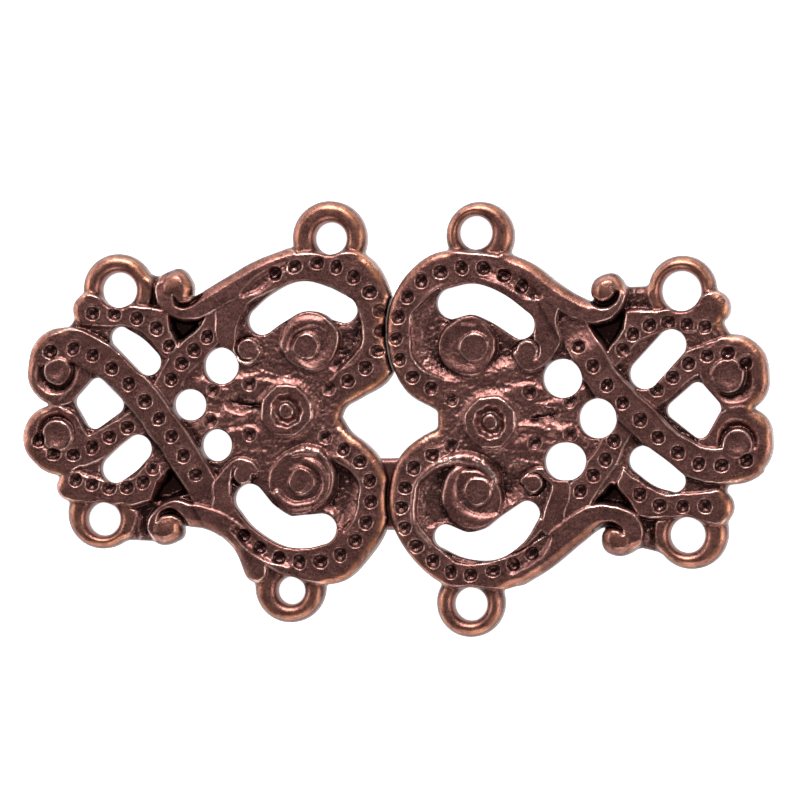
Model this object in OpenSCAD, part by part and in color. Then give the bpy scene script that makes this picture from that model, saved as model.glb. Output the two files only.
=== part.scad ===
// Hook and eye clasp for a cloak: two pierced castings with strapwork relief.
// The halves share one design, turned half round. Each is drawn in its own frame, with
// the middle of its octagon at the origin and x pointing away from the other half.

/* [Plate] */
// Height of the pierced ground plate
ground_h = 2.4; // [2.3:0.1:3]
// Height that the dotted straps stand above the ground
strap_h = 0.4; // [0.2:0.05:0.6]
// Height that the crossing strap, arms and scroll bosses stand above the ground
crown_h = 0.7; // [0.5:0.05:1]
// Width of the groove between a raised strap and the edge of the plate
groove_w = 0.25; // [0.1:0.05:0.4]
// Radius of the fillets in the inner corners of the outline
fillet_r = 0.6; // [0.3:0.1:1]
// Thickness of the metal under the deep pockets
pocket_floor = 1; // [0.8:0.1:1.5]

/* [Sewing loops] */
// Rounding of the loops' edges
loop_round = 0.5; // [0.3:0.05:0.7]
// Height of the loops
loop_h = 2.4; // [2:0.1:2.4]

/* [Ornament] */
// Radius of the ball that presses a punched dot
dot_r = 0.52; // [0.4:0.02:0.6]
// Height of the ball's middle above the strap
dot_lift = 0.12; // [0:0.02:0.2]
// Radius of the octagon across its corners
octagon_r = 2.4; // [2:0.1:2.6]
// Radius of the octagonal recess
octagon_recess_r = 1.5; // [1:0.1:1.7]
// Radius of the round knob in the recess
knob_r = 0.7; // [0.5:0.05:0.8]
// Width of the ridge that winds round a scroll
ridge_w = 0.35; // [0.25:0.05:0.5]
// Height of the scroll discs above the ground
disc_h = 0.25; // [0.1:0.05:0.3]

/* [Hook and eye] */
// Thickness of the eye's flat ring
eye_t = 0.8; // [0.6:0.05:0.9]
// Height of the eye's underside above the surface that the clasp lies on
eye_z = 0.8; // [0.75:0.05:0.9]
// Radius of the eye outside
eye_r = 3.2; // [3:0.1:3.2]
// Width of the neck that carries the eye
eye_neck_w = 6.5; // [5.5:0.1:6.5]
// Thickness of the hook's tongue
tongue_t = 0.6; // [0.5:0.05:0.65]
// Width of the hook
hook_w = 2; // [1.6:0.1:2.2]
// Play between the hook, the eye and the pocket that hides them
play = 0.2; // [0.15:0.05:0.25]
// Gap between the rims of the two halves
rim_gap = 0.15; // [0.1:0.05:0.3]

/* [Hidden] */
$fn = 24;
COPPER = [0.42, 0.27, 0.22];
SPAN_STEPS = 3;
TURN_STEPS = 12;
OVERLAP = 0.2;
RIDGE_H = 0.25;
KNOB_DROP = 0.1;
RECESS_DEPTH = 0.5;
DIAMOND_R = 0.9;
strap_z = ground_h + strap_h;
crown_z = ground_h + crown_h;
disc_z = ground_h + disc_h;

// Where each half lies in the fastened clasp: [x, y, turn in degrees]
HOOK_PLACE = [8.61, -0.23, 2.5];
EYE_PLACE = [-9.91, 0.68, 177.5];
// Middle of the eye and of its slot, in the fastened clasp
EYE_AT = [1.4, -6.8];
SLOT_AT = [1.5, -6.8];
SLOT_SIZE = [3, 3.4];
SLOT_R = 0.6;
POST_X = [1.6, 2.7];
TONGUE_X = [1.6, 4.4];
NECK_X = [-3, 0.8];
pocket_z = eye_z + eye_t + play;

// Table of a half: one entry for each of these
LOOPS = 0;
CORE = 1;
FRAMES = 2;
LOW_STRAPS = 3;
CROSSING = 4;
LOBES = 5;
ARMS = 6;
STEMS = 7;
WINDOWS = 8;
DIAMOND = 9;
LOW_DOTS = 10;
CROSSING_DOTS = 11;
GROUND_DOTS = 12;
SCROLLS = 13;
CURLS = 14;
POCKETS = 15;

HOOK_TABLE = [
  // loops: [x, y, outer radius, hole x, hole y, hole radius]
  [
    [-0.3, 16.8, 3.1, -0.7, 17.1, 1.5],
    [-2.6, -16.3, 3.1, -2.6, -16.4, 1.5],
    [17.8, 11.1, 3.1, 17.7, 11, 1.8],
    [17.7, -10.8, 3.3, 17.3, -11, 1.6],
  ],
  // ground between the straps: corners
  [
    [-4, 14.7], [3.2, 13.6], [8, 9.8], [10.6, 9], [13.8, 8], [20.7, 9.1], [22.4, 6], [23.8, 2.8],
    [23.4, 0.3], [23.9, -2.6], [21.9, -5.3], [20.2, -8.6], [14.9, -9.5], [9.5, -9.3], [5.8, -10.9],
    [0.2, -14.1], [-4.4, -13.4], [-8, -8.5], [-7.8, -4], [-4.9, -0.9], [-4.8, 1.8], [-7.6, 6], [-7.4, 11.4],
  ],
  // dotted frames round the two lobes: stations [x, y, half width]
  [
    [[4.3, 12.3, 0.9], [1.8, 13.7, 1.1], [-1.3, 14.2, 1.2], [-3.9, 14, 1.5], [-6.1, 12.6, 1.4],
     [-7.7, 10.5, 1.1], [-8, 8, 1.1], [-7.7, 5.8, 1.1], [-6.5, 3.8, 1.3], [-4.5, 2.6, 1.4]],
    [[4.6, -11.8, 1.1], [2.8, -12.9, 1.2], [0.6, -13.8, 1.4], [-1.7, -13.8, 1.2], [-3.9, -13.6, 1.2],
     [-5.7, -12.5, 1.2], [-7.3, -10.5, 1.2], [-8.4, -8.2, 1.1], [-8.3, -5.7, 1.2], [-7.2, -3.5, 1.4],
     [-5.5, -2.2, 1.4], [-4.2, -1.4, 1.1]],
  ],
  // straps that pass under the crossing one: outer, inner, then the two sides
  [
    [[22.5, 5.4, 1.4], [19.9, 4.9, 1.3], [17.8, 4, 1.2], [15.4, 2.3, 1.2], [13.6, 1, 1.3]],
    [[11.1, -2.2, 1.1], [10.3, -3.7, 1.2], [9.2, -5.1, 1.2], [8, -6.7, 1.3]],
    [[11.2, 5, 0.7], [12.4, 6.4, 0.8], [13.8, 7.7, 1], [15.9, 8.4, 1], [18.4, 8.6, 1.2], [20.6, 9.4, 1.5]],
    [[12.2, -6.1, 0.8], [13.4, -7.3, 1], [15.1, -8.3, 1], [17.7, -8.5, 1.1], [20, -8.6, 1.6]],
  ],
  // crossing strap
  [
    [[7.9, 8, 1.3], [9, 6, 1.5], [10.3, 3.6, 1.5], [11.9, 1.5, 1.5], [13.5, -0.2, 1.5], [15, -1.9, 1.5],
     [16.8, -3.4, 1.5], [18.8, -4.5, 1.5], [21.4, -4.9, 1.6], [23, -4.6, 1.4]],
  ],
  // scrolled outer lobes
  [
    [[22.2, 3.7, 3.1], [22.5, 2.7, 2.8]],
    [[22, -3.2, 3.4], [23, -2.2, 2.4]],
  ],
  // smooth arms that end in the outer curls, then the webs beside the curls
  [
    [[1.9, 14.4, 0.8], [4.1, 13.2, 0.9], [6.1, 11.4, 1], [8, 10.1, 1], [9.8, 9.5, 0.9], [11.3, 9.9, 0.9],
     [12, 11.1, 0.8], [11.5, 12.1, 0.8], [10.7, 11.8, 0.8]],
    [[2, -13.8, 1.1], [4.3, -12.4, 1.2], [6.9, -10.3, 1.3], [9, -9.1, 1.1], [10.8, -9, 0.9],
     [12.2, -9.7, 0.9], [12.5, -11, 0.9], [11.5, -11.9, 0.7], [10.5, -11.6, 0.7]],
    [[12.3, 10.4, 1.2], [14.9, 10.2, 1.4]],
    [[12.6, -10.6, 1.2], [15, -11, 1.5]],
    [[11.3, 8.6, 1.1], [14.8, 9.3, 1.1]],
    [[12.2, -8.5, 1.1], [14.5, -9.5, 0.7]],
  ],
  // stems that leave the arms and end in the small inner curls
  [
    [[5.7, 10.8, 1.2], [5.4, 8.8, 1], [5.5, 6.9, 1.2], [4.6, 5.3, 0.7], [3.4, 5, 0.5]],
    [[5.2, -9.7, 1], [5.5, -8.3, 0.9], [6, -6.8, 0.9], [5.9, -5.7, 0.8], [4.9, -5, 0.5], [3.9, -4.9, 0.4]],
  ],
  // windows cut through: two kidneys, three rounds, two ovals
  [
    [[-3.1, 10.8, 1.4], [-1.1, 11.1, 1.4], [1, 10.2, 1.4], [3.1, 8.6, 1.3]],
    [[-4.6, -10.2, 1.1], [-2.6, -11.1, 1.2], [-0.4, -11, 1.5], [1.4, -9.9, 1.6], [2.9, -8.5, 1.2]],
    [[6.6, 3.6, 1.75], [6.7, 3.6, 1.75]],
    [[9.7, -0.1, 1.75], [9.7, -0.2, 1.75]],
    [[6.4, -3.9, 1.7], [6.8, -3.9, 1.7]],
    [[14.1, 3.7, 1.4], [15.5, 5.1, 1.4], [16.6, 6.2, 1.4]],
    [[13.6, -4.1, 1.3], [15.1, -5.3, 1.3], [16.4, -6.1, 1]],
  ],
  // diamond window: corners
  [[15.4, 0.3], [18.9, 3.1], [21.1, 0.4], [19.1, -2.8]],
  // rows of dots on the dotted straps and lobes: [count, points on the row]
  [
    [13, [[3.4, 12.1], [0.4, 13.8], [-3.9, 13.7], [-6.9, 11.8], [-8.2, 8.2], [-7.3, 4.8], [-3.6, 2.2]]],
    [13, [[-3.7, -2], [-7.1, -3.9], [-8.4, -7.9], [-6.8, -11.5], [-3.4, -13.5], [0.4, -13.3], [3.2, -12.1]]],
    [3, [[15.2, 2.2], [16.7, 3.3], [18.2, 4.4]]],
    [4, [[11.1, -2.2], [10.3, -3.7], [9.2, -5.1], [7.9, -6.6]]],
    [5, [[12.4, 5.9], [13.5, 7.3], [16, 8.3], [19.8, 7.8]]],
    [4, [[13.3, -7.2], [15, -8.3], [16.9, -8.5], [19, -8.4]]],
    [3, [[19.7, 5.1], [21.6, 5.3], [23.3, 4.2]]],
  ],
  // row of dots on the crossing strap
  [
    [10, [[8.3, 6.4], [10.6, 3.1], [13.3, -0.2], [16.8, -3.5], [19.9, -4.8], [23, -4.5]]],
  ],
  // single dots between the round windows: [x, y]
  [[3.7, 2.5], [7.3, 1.5], [7.2, -1.5], [3.9, -2.2]],
  // scrolls inside the lobes: [disc x, y, radius, boss x, y, radius]
  [[-1.8, 6.9, 2.6, -1.1, 6.8, 1.3], [-1.9, -7, 2.7, -1.4, -6.3, 1.3]],
  // round bosses in the outer curls, small curls and lobes: [x, y, radius]
  [[10.9, 11.3, 1], [11, -11.1, 1.1], [3.6, 6.1, 0.9], [3.6, -5.8, 0.9], [21.8, 3.3, 1.4], [22.1, -2.8, 1.2]],
  // deep pockets that are not cut through: corners
  [
    [[9.4, 7.9], [10.2, 8.6], [11.9, 8.6], [11.9, 8], [11.2, 6.7], [10.7, 6.2]],
    [[9.3, -8], [10, -7], [10.9, -6.4], [11.5, -6.9], [12, -7.6], [11.6, -8.2]],
  ],
];

// The entries and their columns are those of the hook half's table, from the loops to the bosses
EYE_TABLE = [
  [
    [-0.9, 15.9, 3.2, -1, 16.2, 1.25],
    [-3.1, -15.8, 3.4, -3.2, -15.8, 1.45],
    [16.5, 10, 3.2, 16.4, 10.5, 1.5],
    [16, -10.4, 3.2, 15.9, -10.3, 1.6],
  ],
  [
    [-1.7, 14.4], [2.9, 12.6], [6.1, 10.7], [10.2, 10.6], [15.8, 8.6], [19.5, 7.9], [21.4, 5.7], [22.6, 2.6],
    [21.6, 0.3], [22.2, -2.9], [21, -5.6], [19.3, -8.4], [12.9, -8.7], [9.3, -8.9], [5.3, -11.3],
    [0.4, -13.8], [-6.5, -13.2], [-7.8, -10.5], [-8.2, -5.1], [-5.6, -2.1], [-4.9, 0.3], [-6.7, 3.1],
    [-8.3, 5.8], [-8.4, 9.4], [-6.2, 13.1],
  ],
  [
    [[4, 10.8, 0.9], [1.8, 12.4, 1.2], [-0.8, 13.6, 1.3], [-2.9, 14, 1.4], [-5, 13.6, 1.7],
     [-6.9, 11.8, 1.5], [-8, 9.8, 1.5], [-8.3, 7.6, 1.4], [-8, 5.6, 1.4], [-6.8, 4, 1.4],
     [-5.3, 3, 1.4], [-4, 2.3, 1.3]],
    [[4.4, -10.9, 1.1], [2.1, -12.2, 1.1], [-0.5, -13.3, 1.1], [-3.3, -13.3, 1.2], [-5.7, -12.8, 1.8],
     [-7.3, -10.8, 1.6], [-7.8, -8.7, 1.4], [-8, -6.4, 1.3], [-7.7, -4.5, 1.8], [-6, -3, 1.6], [-4.4, -1.7, 1.3]],
  ],
  [
    [[22.2, 4, 1.4], [20.5, 4.8, 1.3], [19.1, 4.7, 1.3], [17.6, 4.1, 1.2], [15.9, 3.2, 1.2], [14.4, 2.2, 1.2]],
    [[10.6, -2.4, 1.2], [9.9, -3.7, 1.2], [8.8, -5, 1.2], [7.5, -6.4, 1.2], [6.5, -7.9, 1.2]],
    [[12.1, 6.1, 0.9], [13.3, 7.4, 1], [15.4, 8.1, 1.1], [17.5, 8, 1.2], [19.5, 7.7, 1.3]],
    [[11.1, -5.2, 0.9], [12.4, -6.9, 1], [13.8, -7.9, 1], [16.1, -8.1, 1.1], [18.5, -8.4, 1.5]],
  ],
  [
    [[6.9, 8.1, 1.3], [8.1, 6.1, 1.4], [9.2, 4.4, 1.5], [10.3, 2.9, 1.5], [11.6, 1.3, 1.5], [12.9, -0.4, 1.5],
     [14.4, -2, 1.5], [16.1, -3.4, 1.5], [18, -4.4, 1.5], [20, -5.1, 1.5], [21.8, -4.5, 1.4]],
  ],
  [
    [[21.2, 3.3, 2.9], [20.7, 3.9, 2.8]],
    [[20.7, -3.6, 3.1], [21, -2.5, 2.9]],
  ],
  [
    [[2.2, 14.5, 1.1], [3.3, 12.4, 1], [5, 10.8, 1], [6.8, 10, 1], [8.5, 9.8, 1], [10.1, 9.6, 0.9],
     [11.3, 10.6, 0.9], [10.9, 11.7, 0.9], [9.8, 11.4, 0.8]],
    [[0.4, -13.9, 0.9], [2.9, -12.7, 1], [5.3, -11.1, 1.1], [7.1, -9.9, 1.1], [8.8, -9, 1],
     [10.4, -9, 0.9], [11.5, -9.8, 0.8], [11.6, -11.1, 0.8], [10.5, -11.6, 0.9]],
    [[14, 10.9, 1.4], [11.9, 10.8, 1.5]],
    [[13, -10.5, 1.3], [11.4, -10.2, 1.4]],
    [[12.1, 9, 0.9], [9.4, 8.3, 1.1]],
    [[12.8, -9.2, 0.9], [9.7, -8.1, 1.1]],
  ],
  [
    [[6.1, 10.6, 1.1], [5.6, 9.4, 1], [5.6, 8.2, 0.8], [5.7, 7.1, 0.8], [5.3, 6, 0.6], [4.3, 5, 0.5]],
    [[5.6, -10.9, 1.1], [5.6, -9.1, 1.2], [5.8, -7.7, 1], [5.6, -6.3, 0.8], [4.8, -4.9, 0.5]],
  ],
  [
    [[3.1, 8.1, 1.4], [1.7, 9.6, 1.4], [-0.4, 10.8, 1.4], [-2.1, 10.8, 1.5], [-3.6, 10.5, 1.4]],
    [[2.7, -8.1, 1.3], [1.3, -9.3, 1.4], [-0.7, -10.4, 1.4], [-2.7, -10.1, 1.4], [-4.8, -9.4, 1.2]],
    [[6.3, 3.3, 1.4], [6.3, 3.4, 1.4]],
    [[9, -0.2, 1.4], [8.8, -0.2, 1.4]],
    [[6.2, -3.8, 1.6], [6.2, -3.9, 1.6]],
    [[15.5, 5.9, 1.3], [14.4, 4.9, 1.4], [13.5, 4, 1.3]],
    [[15.5, -6, 1], [14.1, -5, 1.2], [12.9, -3.9, 1.2]],
  ],
  [[19.7, -0.1], [17.6, -2.7], [14.4, 0.2], [17.8, 2.8]],
  [
    [13, [[3.4, 11.4], [0.3, 13.2], [-3.8, 13.4], [-6.7, 11.6], [-8, 8], [-7.1, 4.5], [-3.7, 2.2]]],
    [12, [[1.5, -12.4], [-1.7, -13.4], [-5.5, -12.5], [-7.9, -9.8], [-8, -5.6], [-5.5, -3], [-3.8, -2.2]]],
    [3, [[14.5, 2.1], [16.1, 3.1], [17.6, 4]]],
    [4, [[10.6, -2.4], [9.8, -3.7], [8.8, -5], [7.5, -6.4]]],
    [5, [[12, 5.6], [12.8, 6.9], [15.4, 7.7], [19, 7.2]]],
    [4, [[12.5, -7.1], [14.9, -8.1], [18, -8.1]]],
    [3, [[19.1, 4.7], [20.8, 4.9], [22.5, 3.6]]],
  ],
  [
    [10, [[8, 6.1], [10.3, 2.9], [12.9, -0.4], [16.2, -3.3], [19.3, -4.7], [21.8, -4.5]]],
  ],
  [[3.3, 2.3], [6.9, 1.2], [6.8, -1.6], [3.5, -2.4]],
  [[-1.5, 6.4, 2.9, -1.6, 6.3, 1.2], [-1.8, -6.5, 2.7, -1.5, -6, 1.2]],
  [[10.5, 11, 1], [10.4, -10.7, 1], [3.6, 5.9, 0.8], [3.6, -5.5, 0.9], [21.1, 3.1, 1.2], [21.2, -2.8, 1.2]],
  [
    [[10.5, 6.2], [9.9, 6.1], [9.3, 6.9], [8.9, 7.6], [10.1, 8.1], [11.2, 8.1], [10.9, 7.1]],
    [[11.1, -8.2], [9.8, -7.8], [9, -7.5], [9.2, -6.9], [10, -6.4], [10.8, -7.2]],
  ],
];

// Point on a smooth curve: the cubic that leaves b for c and looks back to a and on to d
function blend(a, b, c, d, t) =
  0.5 * (2 * b + (c - a) * t + (2 * a - 5 * b + 4 * c - d) * t * t + (3 * b - a - 3 * c + d) * t * t * t);

// Row with one more station at each end, so that the curve reaches its first and last ones
function extended(row) =
  let (last = len(row) - 1)
  concat([2 * row[0] - row[1]], row, [2 * row[last] - row[last - 1]]);

// Smooth curve through a row of stations, with a number of steps in each span
function smooth(row, steps = SPAN_STEPS) =
  let (e = extended(row))
  concat(
    [for (i = [1 : len(e) - 3], k = [0 : steps - 1]) blend(e[i - 1], e[i], e[i + 1], e[i + 2], k / steps)],
    [row[len(row) - 1]]
  );

// Edge of a strap at station i of its path: the station's middle, moved sideways by its half width
function edge(path, i, side) =
  let (
    a = path[max(i - 1, 0)],
    b = path[min(i + 1, len(path) - 1)],
    along = [b[0] - a[0], b[1] - a[1]],
    across = [-along[1], along[0]] / max(norm(along), 0.001)
  )
  [path[i][0], path[i][1]] + side * path[i][2] * across;

// Flat strap of changing width along a path of stations [x, y, half width], with round ends
module ribbon(path) {
  for (i = [0 : len(path) - 2])
    polygon([edge(path, i, 1), edge(path, i + 1, 1), edge(path, i + 1, -1), edge(path, i, -1)]);
  for (s = [path[0], path[len(path) - 1]]) translate([s[0], s[1]]) circle(r = s[2], $fn = 16);
}

module strap(row) {
  ribbon(smooth(row));
}

module straps(rows) {
  for (row = rows) strap(row);
}

// Outline of a half without its windows, with filleted inner corners
module outline(table) {
  offset(r = -fillet_r, $fn = 16) offset(r = fillet_r, $fn = 16) {
    polygon(table[CORE]);
    straps(table[FRAMES]);
    straps(table[LOW_STRAPS]);
    straps(table[CROSSING]);
    straps(table[LOBES]);
    straps(table[ARMS]);
    for (l = table[LOOPS]) translate([l[0], l[1]]) circle(r = l[2] - loop_round / 2);
    for (c = table[CURLS]) translate([c[0], c[1]]) circle(r = c[2] + ridge_w);
  }
}

// Windows of a half
module windows(table) {
  straps(table[WINDOWS]);
  offset(r = DIAMOND_R) offset(delta = -DIAMOND_R) polygon(table[DIAMOND]);
}

// Plan of a half: outline less windows, drawn in by a margin
module plan(table, margin = 0) {
  offset(delta = -margin) difference() {
    outline(table);
    windows(table);
  }
}

// Dotted straps, scroll discs and lobes, a groove away from every edge
module strap_plan(table) {
  intersection() {
    plan(table, groove_w);
    union() {
      straps(table[FRAMES]);
      straps(table[LOW_STRAPS]);
      straps(table[LOBES]);
    }
  }
}

// Crossing strap, arms with their curls and stems: they lie over the dotted straps
module crown_plan(table) {
  intersection() {
    plan(table, groove_w);
    offset(delta = -groove_w / 2) union() {
      straps(table[CROSSING]);
      straps([table[ARMS][0], table[ARMS][1]]);
      straps(table[STEMS]);
    }
  }
}

// Ridge that winds once and a bit round a scroll, from its boss out to the rim of its disc
module scroll_ridge(s) {
  turns = 1.4;
  path = [for (i = [0 : TURN_STEPS * turns])
    let (t = i / (TURN_STEPS * turns), a = 360 * turns * t, r = s[5] + ridge_w + (s[2] - s[5] - 2 * ridge_w) * t)
    [s[3] * (1 - t) + s[0] * t + r * cos(a), s[4] * (1 - t) + s[1] * t + r * sin(a), ridge_w / 2]];
  ribbon(path);
}

// Scroll inside a lobe: a low disc, the ridge on it and the boss in the middle
module scroll(table, s) {
  raised(ground_h, disc_z) intersection() {
    plan(table, groove_w);
    translate([s[0], s[1]]) circle(r = s[2]);
  }
  raised(disc_z, disc_z + RIDGE_H) intersection() {
    plan(table, groove_w);
    scroll_ridge(s);
  }
  translate([s[3], s[4], ground_h - OVERLAP]) cylinder(r = s[5], h = crown_h + OVERLAP);
}

// Flat shape raised from one height to another, rooted a little deeper in what carries it
module raised(from, to) {
  translate([0, 0, from - OVERLAP]) linear_extrude(to - from + OVERLAP) offset(delta = 0.001) children();
}

// Octagon with its recess and knob, in the middle of the half
module octagon() {
  difference() {
    translate([0, 0, ground_h - OVERLAP]) cylinder(r = octagon_r, h = crown_h + OVERLAP, $fn = 8);
    translate([0, 0, crown_z - RECESS_DEPTH]) cylinder(r = octagon_recess_r, h = 2 * RECESS_DEPTH, $fn = 8);
  }
  translate([0, 0, ground_h - OVERLAP]) cylinder(r = knob_r, h = crown_h + OVERLAP - KNOB_DROP);
}

// Round-edged sewing loop
module loop_ring(l) {
  w = l[2] - l[5];
  translate([l[0], l[1]]) rotate_extrude($fn = 48)
    translate([l[2] - w + loop_round, loop_round]) offset(r = loop_round)
      square([w - 2 * loop_round, loop_h - 2 * loop_round]);
}

// Balls that press a row of dots into a surface at height z
module dots(rows, z) {
  for (row = rows) {
    path = smooth(row[1], 8);
    last = len(path) - 1;
    for (i = [0 : row[0] - 1]) {
      p = path[round(i * last / max(row[0] - 1, 1))];
      translate([p[0], p[1], z + dot_lift]) sphere(r = dot_r);
    }
  }
}

// One casting, flat on its back, before the hook or the eye is added
module casting(table) {
  difference() {
    union() {
      raised(OVERLAP, ground_h) plan(table);
      raised(ground_h, strap_z) strap_plan(table);
      raised(ground_h, crown_z) crown_plan(table);
      for (s = table[SCROLLS]) scroll(table, s);
      for (c = table[CURLS]) translate([c[0], c[1], ground_h - OVERLAP]) cylinder(r = c[2], h = crown_h + OVERLAP);
      for (l = table[LOOPS]) loop_ring(l);
      octagon();
    }
    for (l = table[LOOPS]) translate([l[3], l[4], -1]) cylinder(r = l[5], h = crown_z + 2);
    for (p = table[POCKETS]) translate([0, 0, pocket_floor]) linear_extrude(crown_z) polygon(p);
    dots(table[LOW_DOTS], strap_z);
    dots(table[CROSSING_DOTS], crown_z);
    dots([for (d = table[GROUND_DOTS]) [1, [d, d]]], ground_h);
  }
}

// Puts a half where it lies in the fastened clasp
module placed(place) {
  translate([place[0], place[1], 0]) rotate(place[2]) children();
}

// Plan of the eye: neck and ring, with fillets where they meet
module eye_plan() {
  offset(r = -1) offset(r = 1) {
    translate(EYE_AT) circle(r = eye_r);
    translate([NECK_X[0], EYE_AT[1] - eye_neck_w / 2]) square([NECK_X[1] - NECK_X[0], eye_neck_w]);
  }
}

// Half that carries the hook, with a pocket on its back that hides the eye
module hook_half() {
  color(COPPER) {
    difference() {
      placed(HOOK_PLACE) casting(HOOK_TABLE);
      translate([0, 0, -1]) linear_extrude(pocket_z + 1) offset(r = play) {
        eye_plan();
        translate([POST_X[0], EYE_AT[1] - hook_w / 2]) square([TONGUE_X[1] - POST_X[0], hook_w]);
      }
    }
    // post and tongue of the hook
    translate([POST_X[0], EYE_AT[1] - hook_w / 2, 0])
      cube([POST_X[1] - POST_X[0], hook_w, pocket_z + OVERLAP]);
    translate([TONGUE_X[0], EYE_AT[1] - hook_w / 2, 0]) cube([TONGUE_X[1] - TONGUE_X[0], hook_w, tongue_t]);
  }
}

// Half that carries the eye, cut back where the hook half's rim meets it
module eye_half() {
  color(COPPER) {
    difference() {
      placed(EYE_PLACE) casting(EYE_TABLE);
      translate([0, 0, -1]) linear_extrude(crown_z + 2) offset(r = rim_gap) placed(HOOK_PLACE) outline(HOOK_TABLE);
    }
    translate([0, 0, eye_z]) linear_extrude(eye_t) difference() {
      eye_plan();
      translate(SLOT_AT - SLOT_SIZE / 2 + [SLOT_R, SLOT_R])
        offset(r = SLOT_R) square(SLOT_SIZE - [2 * SLOT_R, 2 * SLOT_R]);
    }
  }
}

hook_half();
eye_half();
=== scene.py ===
import bpy
import numpy as np
from mathutils.geometry import delaunay_2d_cdt
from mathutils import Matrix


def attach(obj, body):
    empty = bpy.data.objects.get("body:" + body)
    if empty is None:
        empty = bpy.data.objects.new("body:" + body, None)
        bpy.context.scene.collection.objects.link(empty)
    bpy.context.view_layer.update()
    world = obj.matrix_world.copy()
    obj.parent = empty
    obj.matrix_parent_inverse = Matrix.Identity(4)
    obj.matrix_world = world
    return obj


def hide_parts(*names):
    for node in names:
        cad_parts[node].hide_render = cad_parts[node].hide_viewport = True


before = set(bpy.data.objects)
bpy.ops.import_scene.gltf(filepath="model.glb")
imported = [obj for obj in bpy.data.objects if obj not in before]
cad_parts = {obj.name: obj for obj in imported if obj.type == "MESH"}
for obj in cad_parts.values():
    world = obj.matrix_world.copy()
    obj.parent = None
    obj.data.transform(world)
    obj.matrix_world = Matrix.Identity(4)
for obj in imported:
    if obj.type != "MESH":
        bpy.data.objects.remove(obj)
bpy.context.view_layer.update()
scene = bpy.context.scene


# The view: a long lens almost straight above the clasp, leaning a little to the right. The picture is as wide
# as the fastened clasp with a narrow margin on each side.
LENS_DISTANCE = 0.9
LEAN = np.radians(6.5)
VIEW_WIDTH = 0.0723
SENSOR_WIDTH = 36
LOOK_AT = np.array([0.00035, 0.0017, 0.002])
camera_data = bpy.data.cameras.new("camera")
camera_data.sensor_width = SENSOR_WIDTH
camera_data.lens = SENSOR_WIDTH * LENS_DISTANCE / VIEW_WIDTH
camera = bpy.data.objects.new("camera", camera_data)
camera.location = LOOK_AT + LENS_DISTANCE * np.array([np.sin(LEAN), 0, np.cos(LEAN)])
camera.rotation_euler = (0, LEAN, 0)
scene.collection.objects.link(camera)
scene.camera = camera
scene.view_settings.view_transform = "Standard"


# The ground: a sheet of white paper, lit evenly from behind so that it stays pure white, with a lit soft box
# on each side of the clasp and the brightest one at its far side. The room itself is dim and grey.
PAPER_HALF = 1
paper_corners = [(sx * PAPER_HALF, sy * PAPER_HALF, 0) for sx, sy in ((-1, -1), (1, -1), (1, 1), (-1, 1))]
floor_mesh = bpy.data.meshes.new("white_paper")
floor_mesh.from_pydata(paper_corners, [], [(0, 1, 2, 3)])
floor = bpy.data.objects.new("white_paper", floor_mesh)
scene.collection.objects.link(floor)
paper = bpy.data.materials.new("white_paper")
paper.use_nodes = True
paper_shader = paper.node_tree.nodes["Principled BSDF"]
paper_shader.inputs["Base Color"].default_value = (0.92, 0.92, 0.92, 1)
paper_shader.inputs["Roughness"].default_value = 0.9
paper_shader.inputs["Emission Color"].default_value = (1, 1, 1, 1)
paper_shader.inputs["Emission Strength"].default_value = 1.0
floor_mesh.materials.append(paper)

# soft boxes: name, place in metres, width, height, watts
SOFT_BOXES = [
    ("window_light", (-0.03, 0.42, 0.34), 0.3, 0.14, 4.0),
    ("left_light", (-0.5, 0.1, 0.22), 0.3, 0.2, 1.1),
    ("right_light", (0.5, -0.05, 0.25), 0.3, 0.2, 1.1),
    ("near_light", (0.05, -0.5, 0.25), 0.4, 0.15, 0.9),
]
for name, stand, width, height, watts in SOFT_BOXES:
    lamp = bpy.data.lights.new(name, "AREA")
    lamp.shape = "RECTANGLE"
    lamp.size = width
    lamp.size_y = height
    lamp.energy = watts
    box = bpy.data.objects.new(name, lamp)
    box.location = stand
    towards = -np.array(stand)
    box.rotation_euler = (
        np.arctan2(np.hypot(towards[0], towards[1]), -towards[2]),
        0,
        np.arctan2(towards[1], towards[0]) - np.pi / 2,
    )
    scene.collection.objects.link(box)
world = bpy.data.worlds.new("room")
world.use_nodes = True
world.node_tree.nodes["Background"].inputs["Color"].default_value = (0.16, 0.16, 0.162, 1)
scene.world = world


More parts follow.
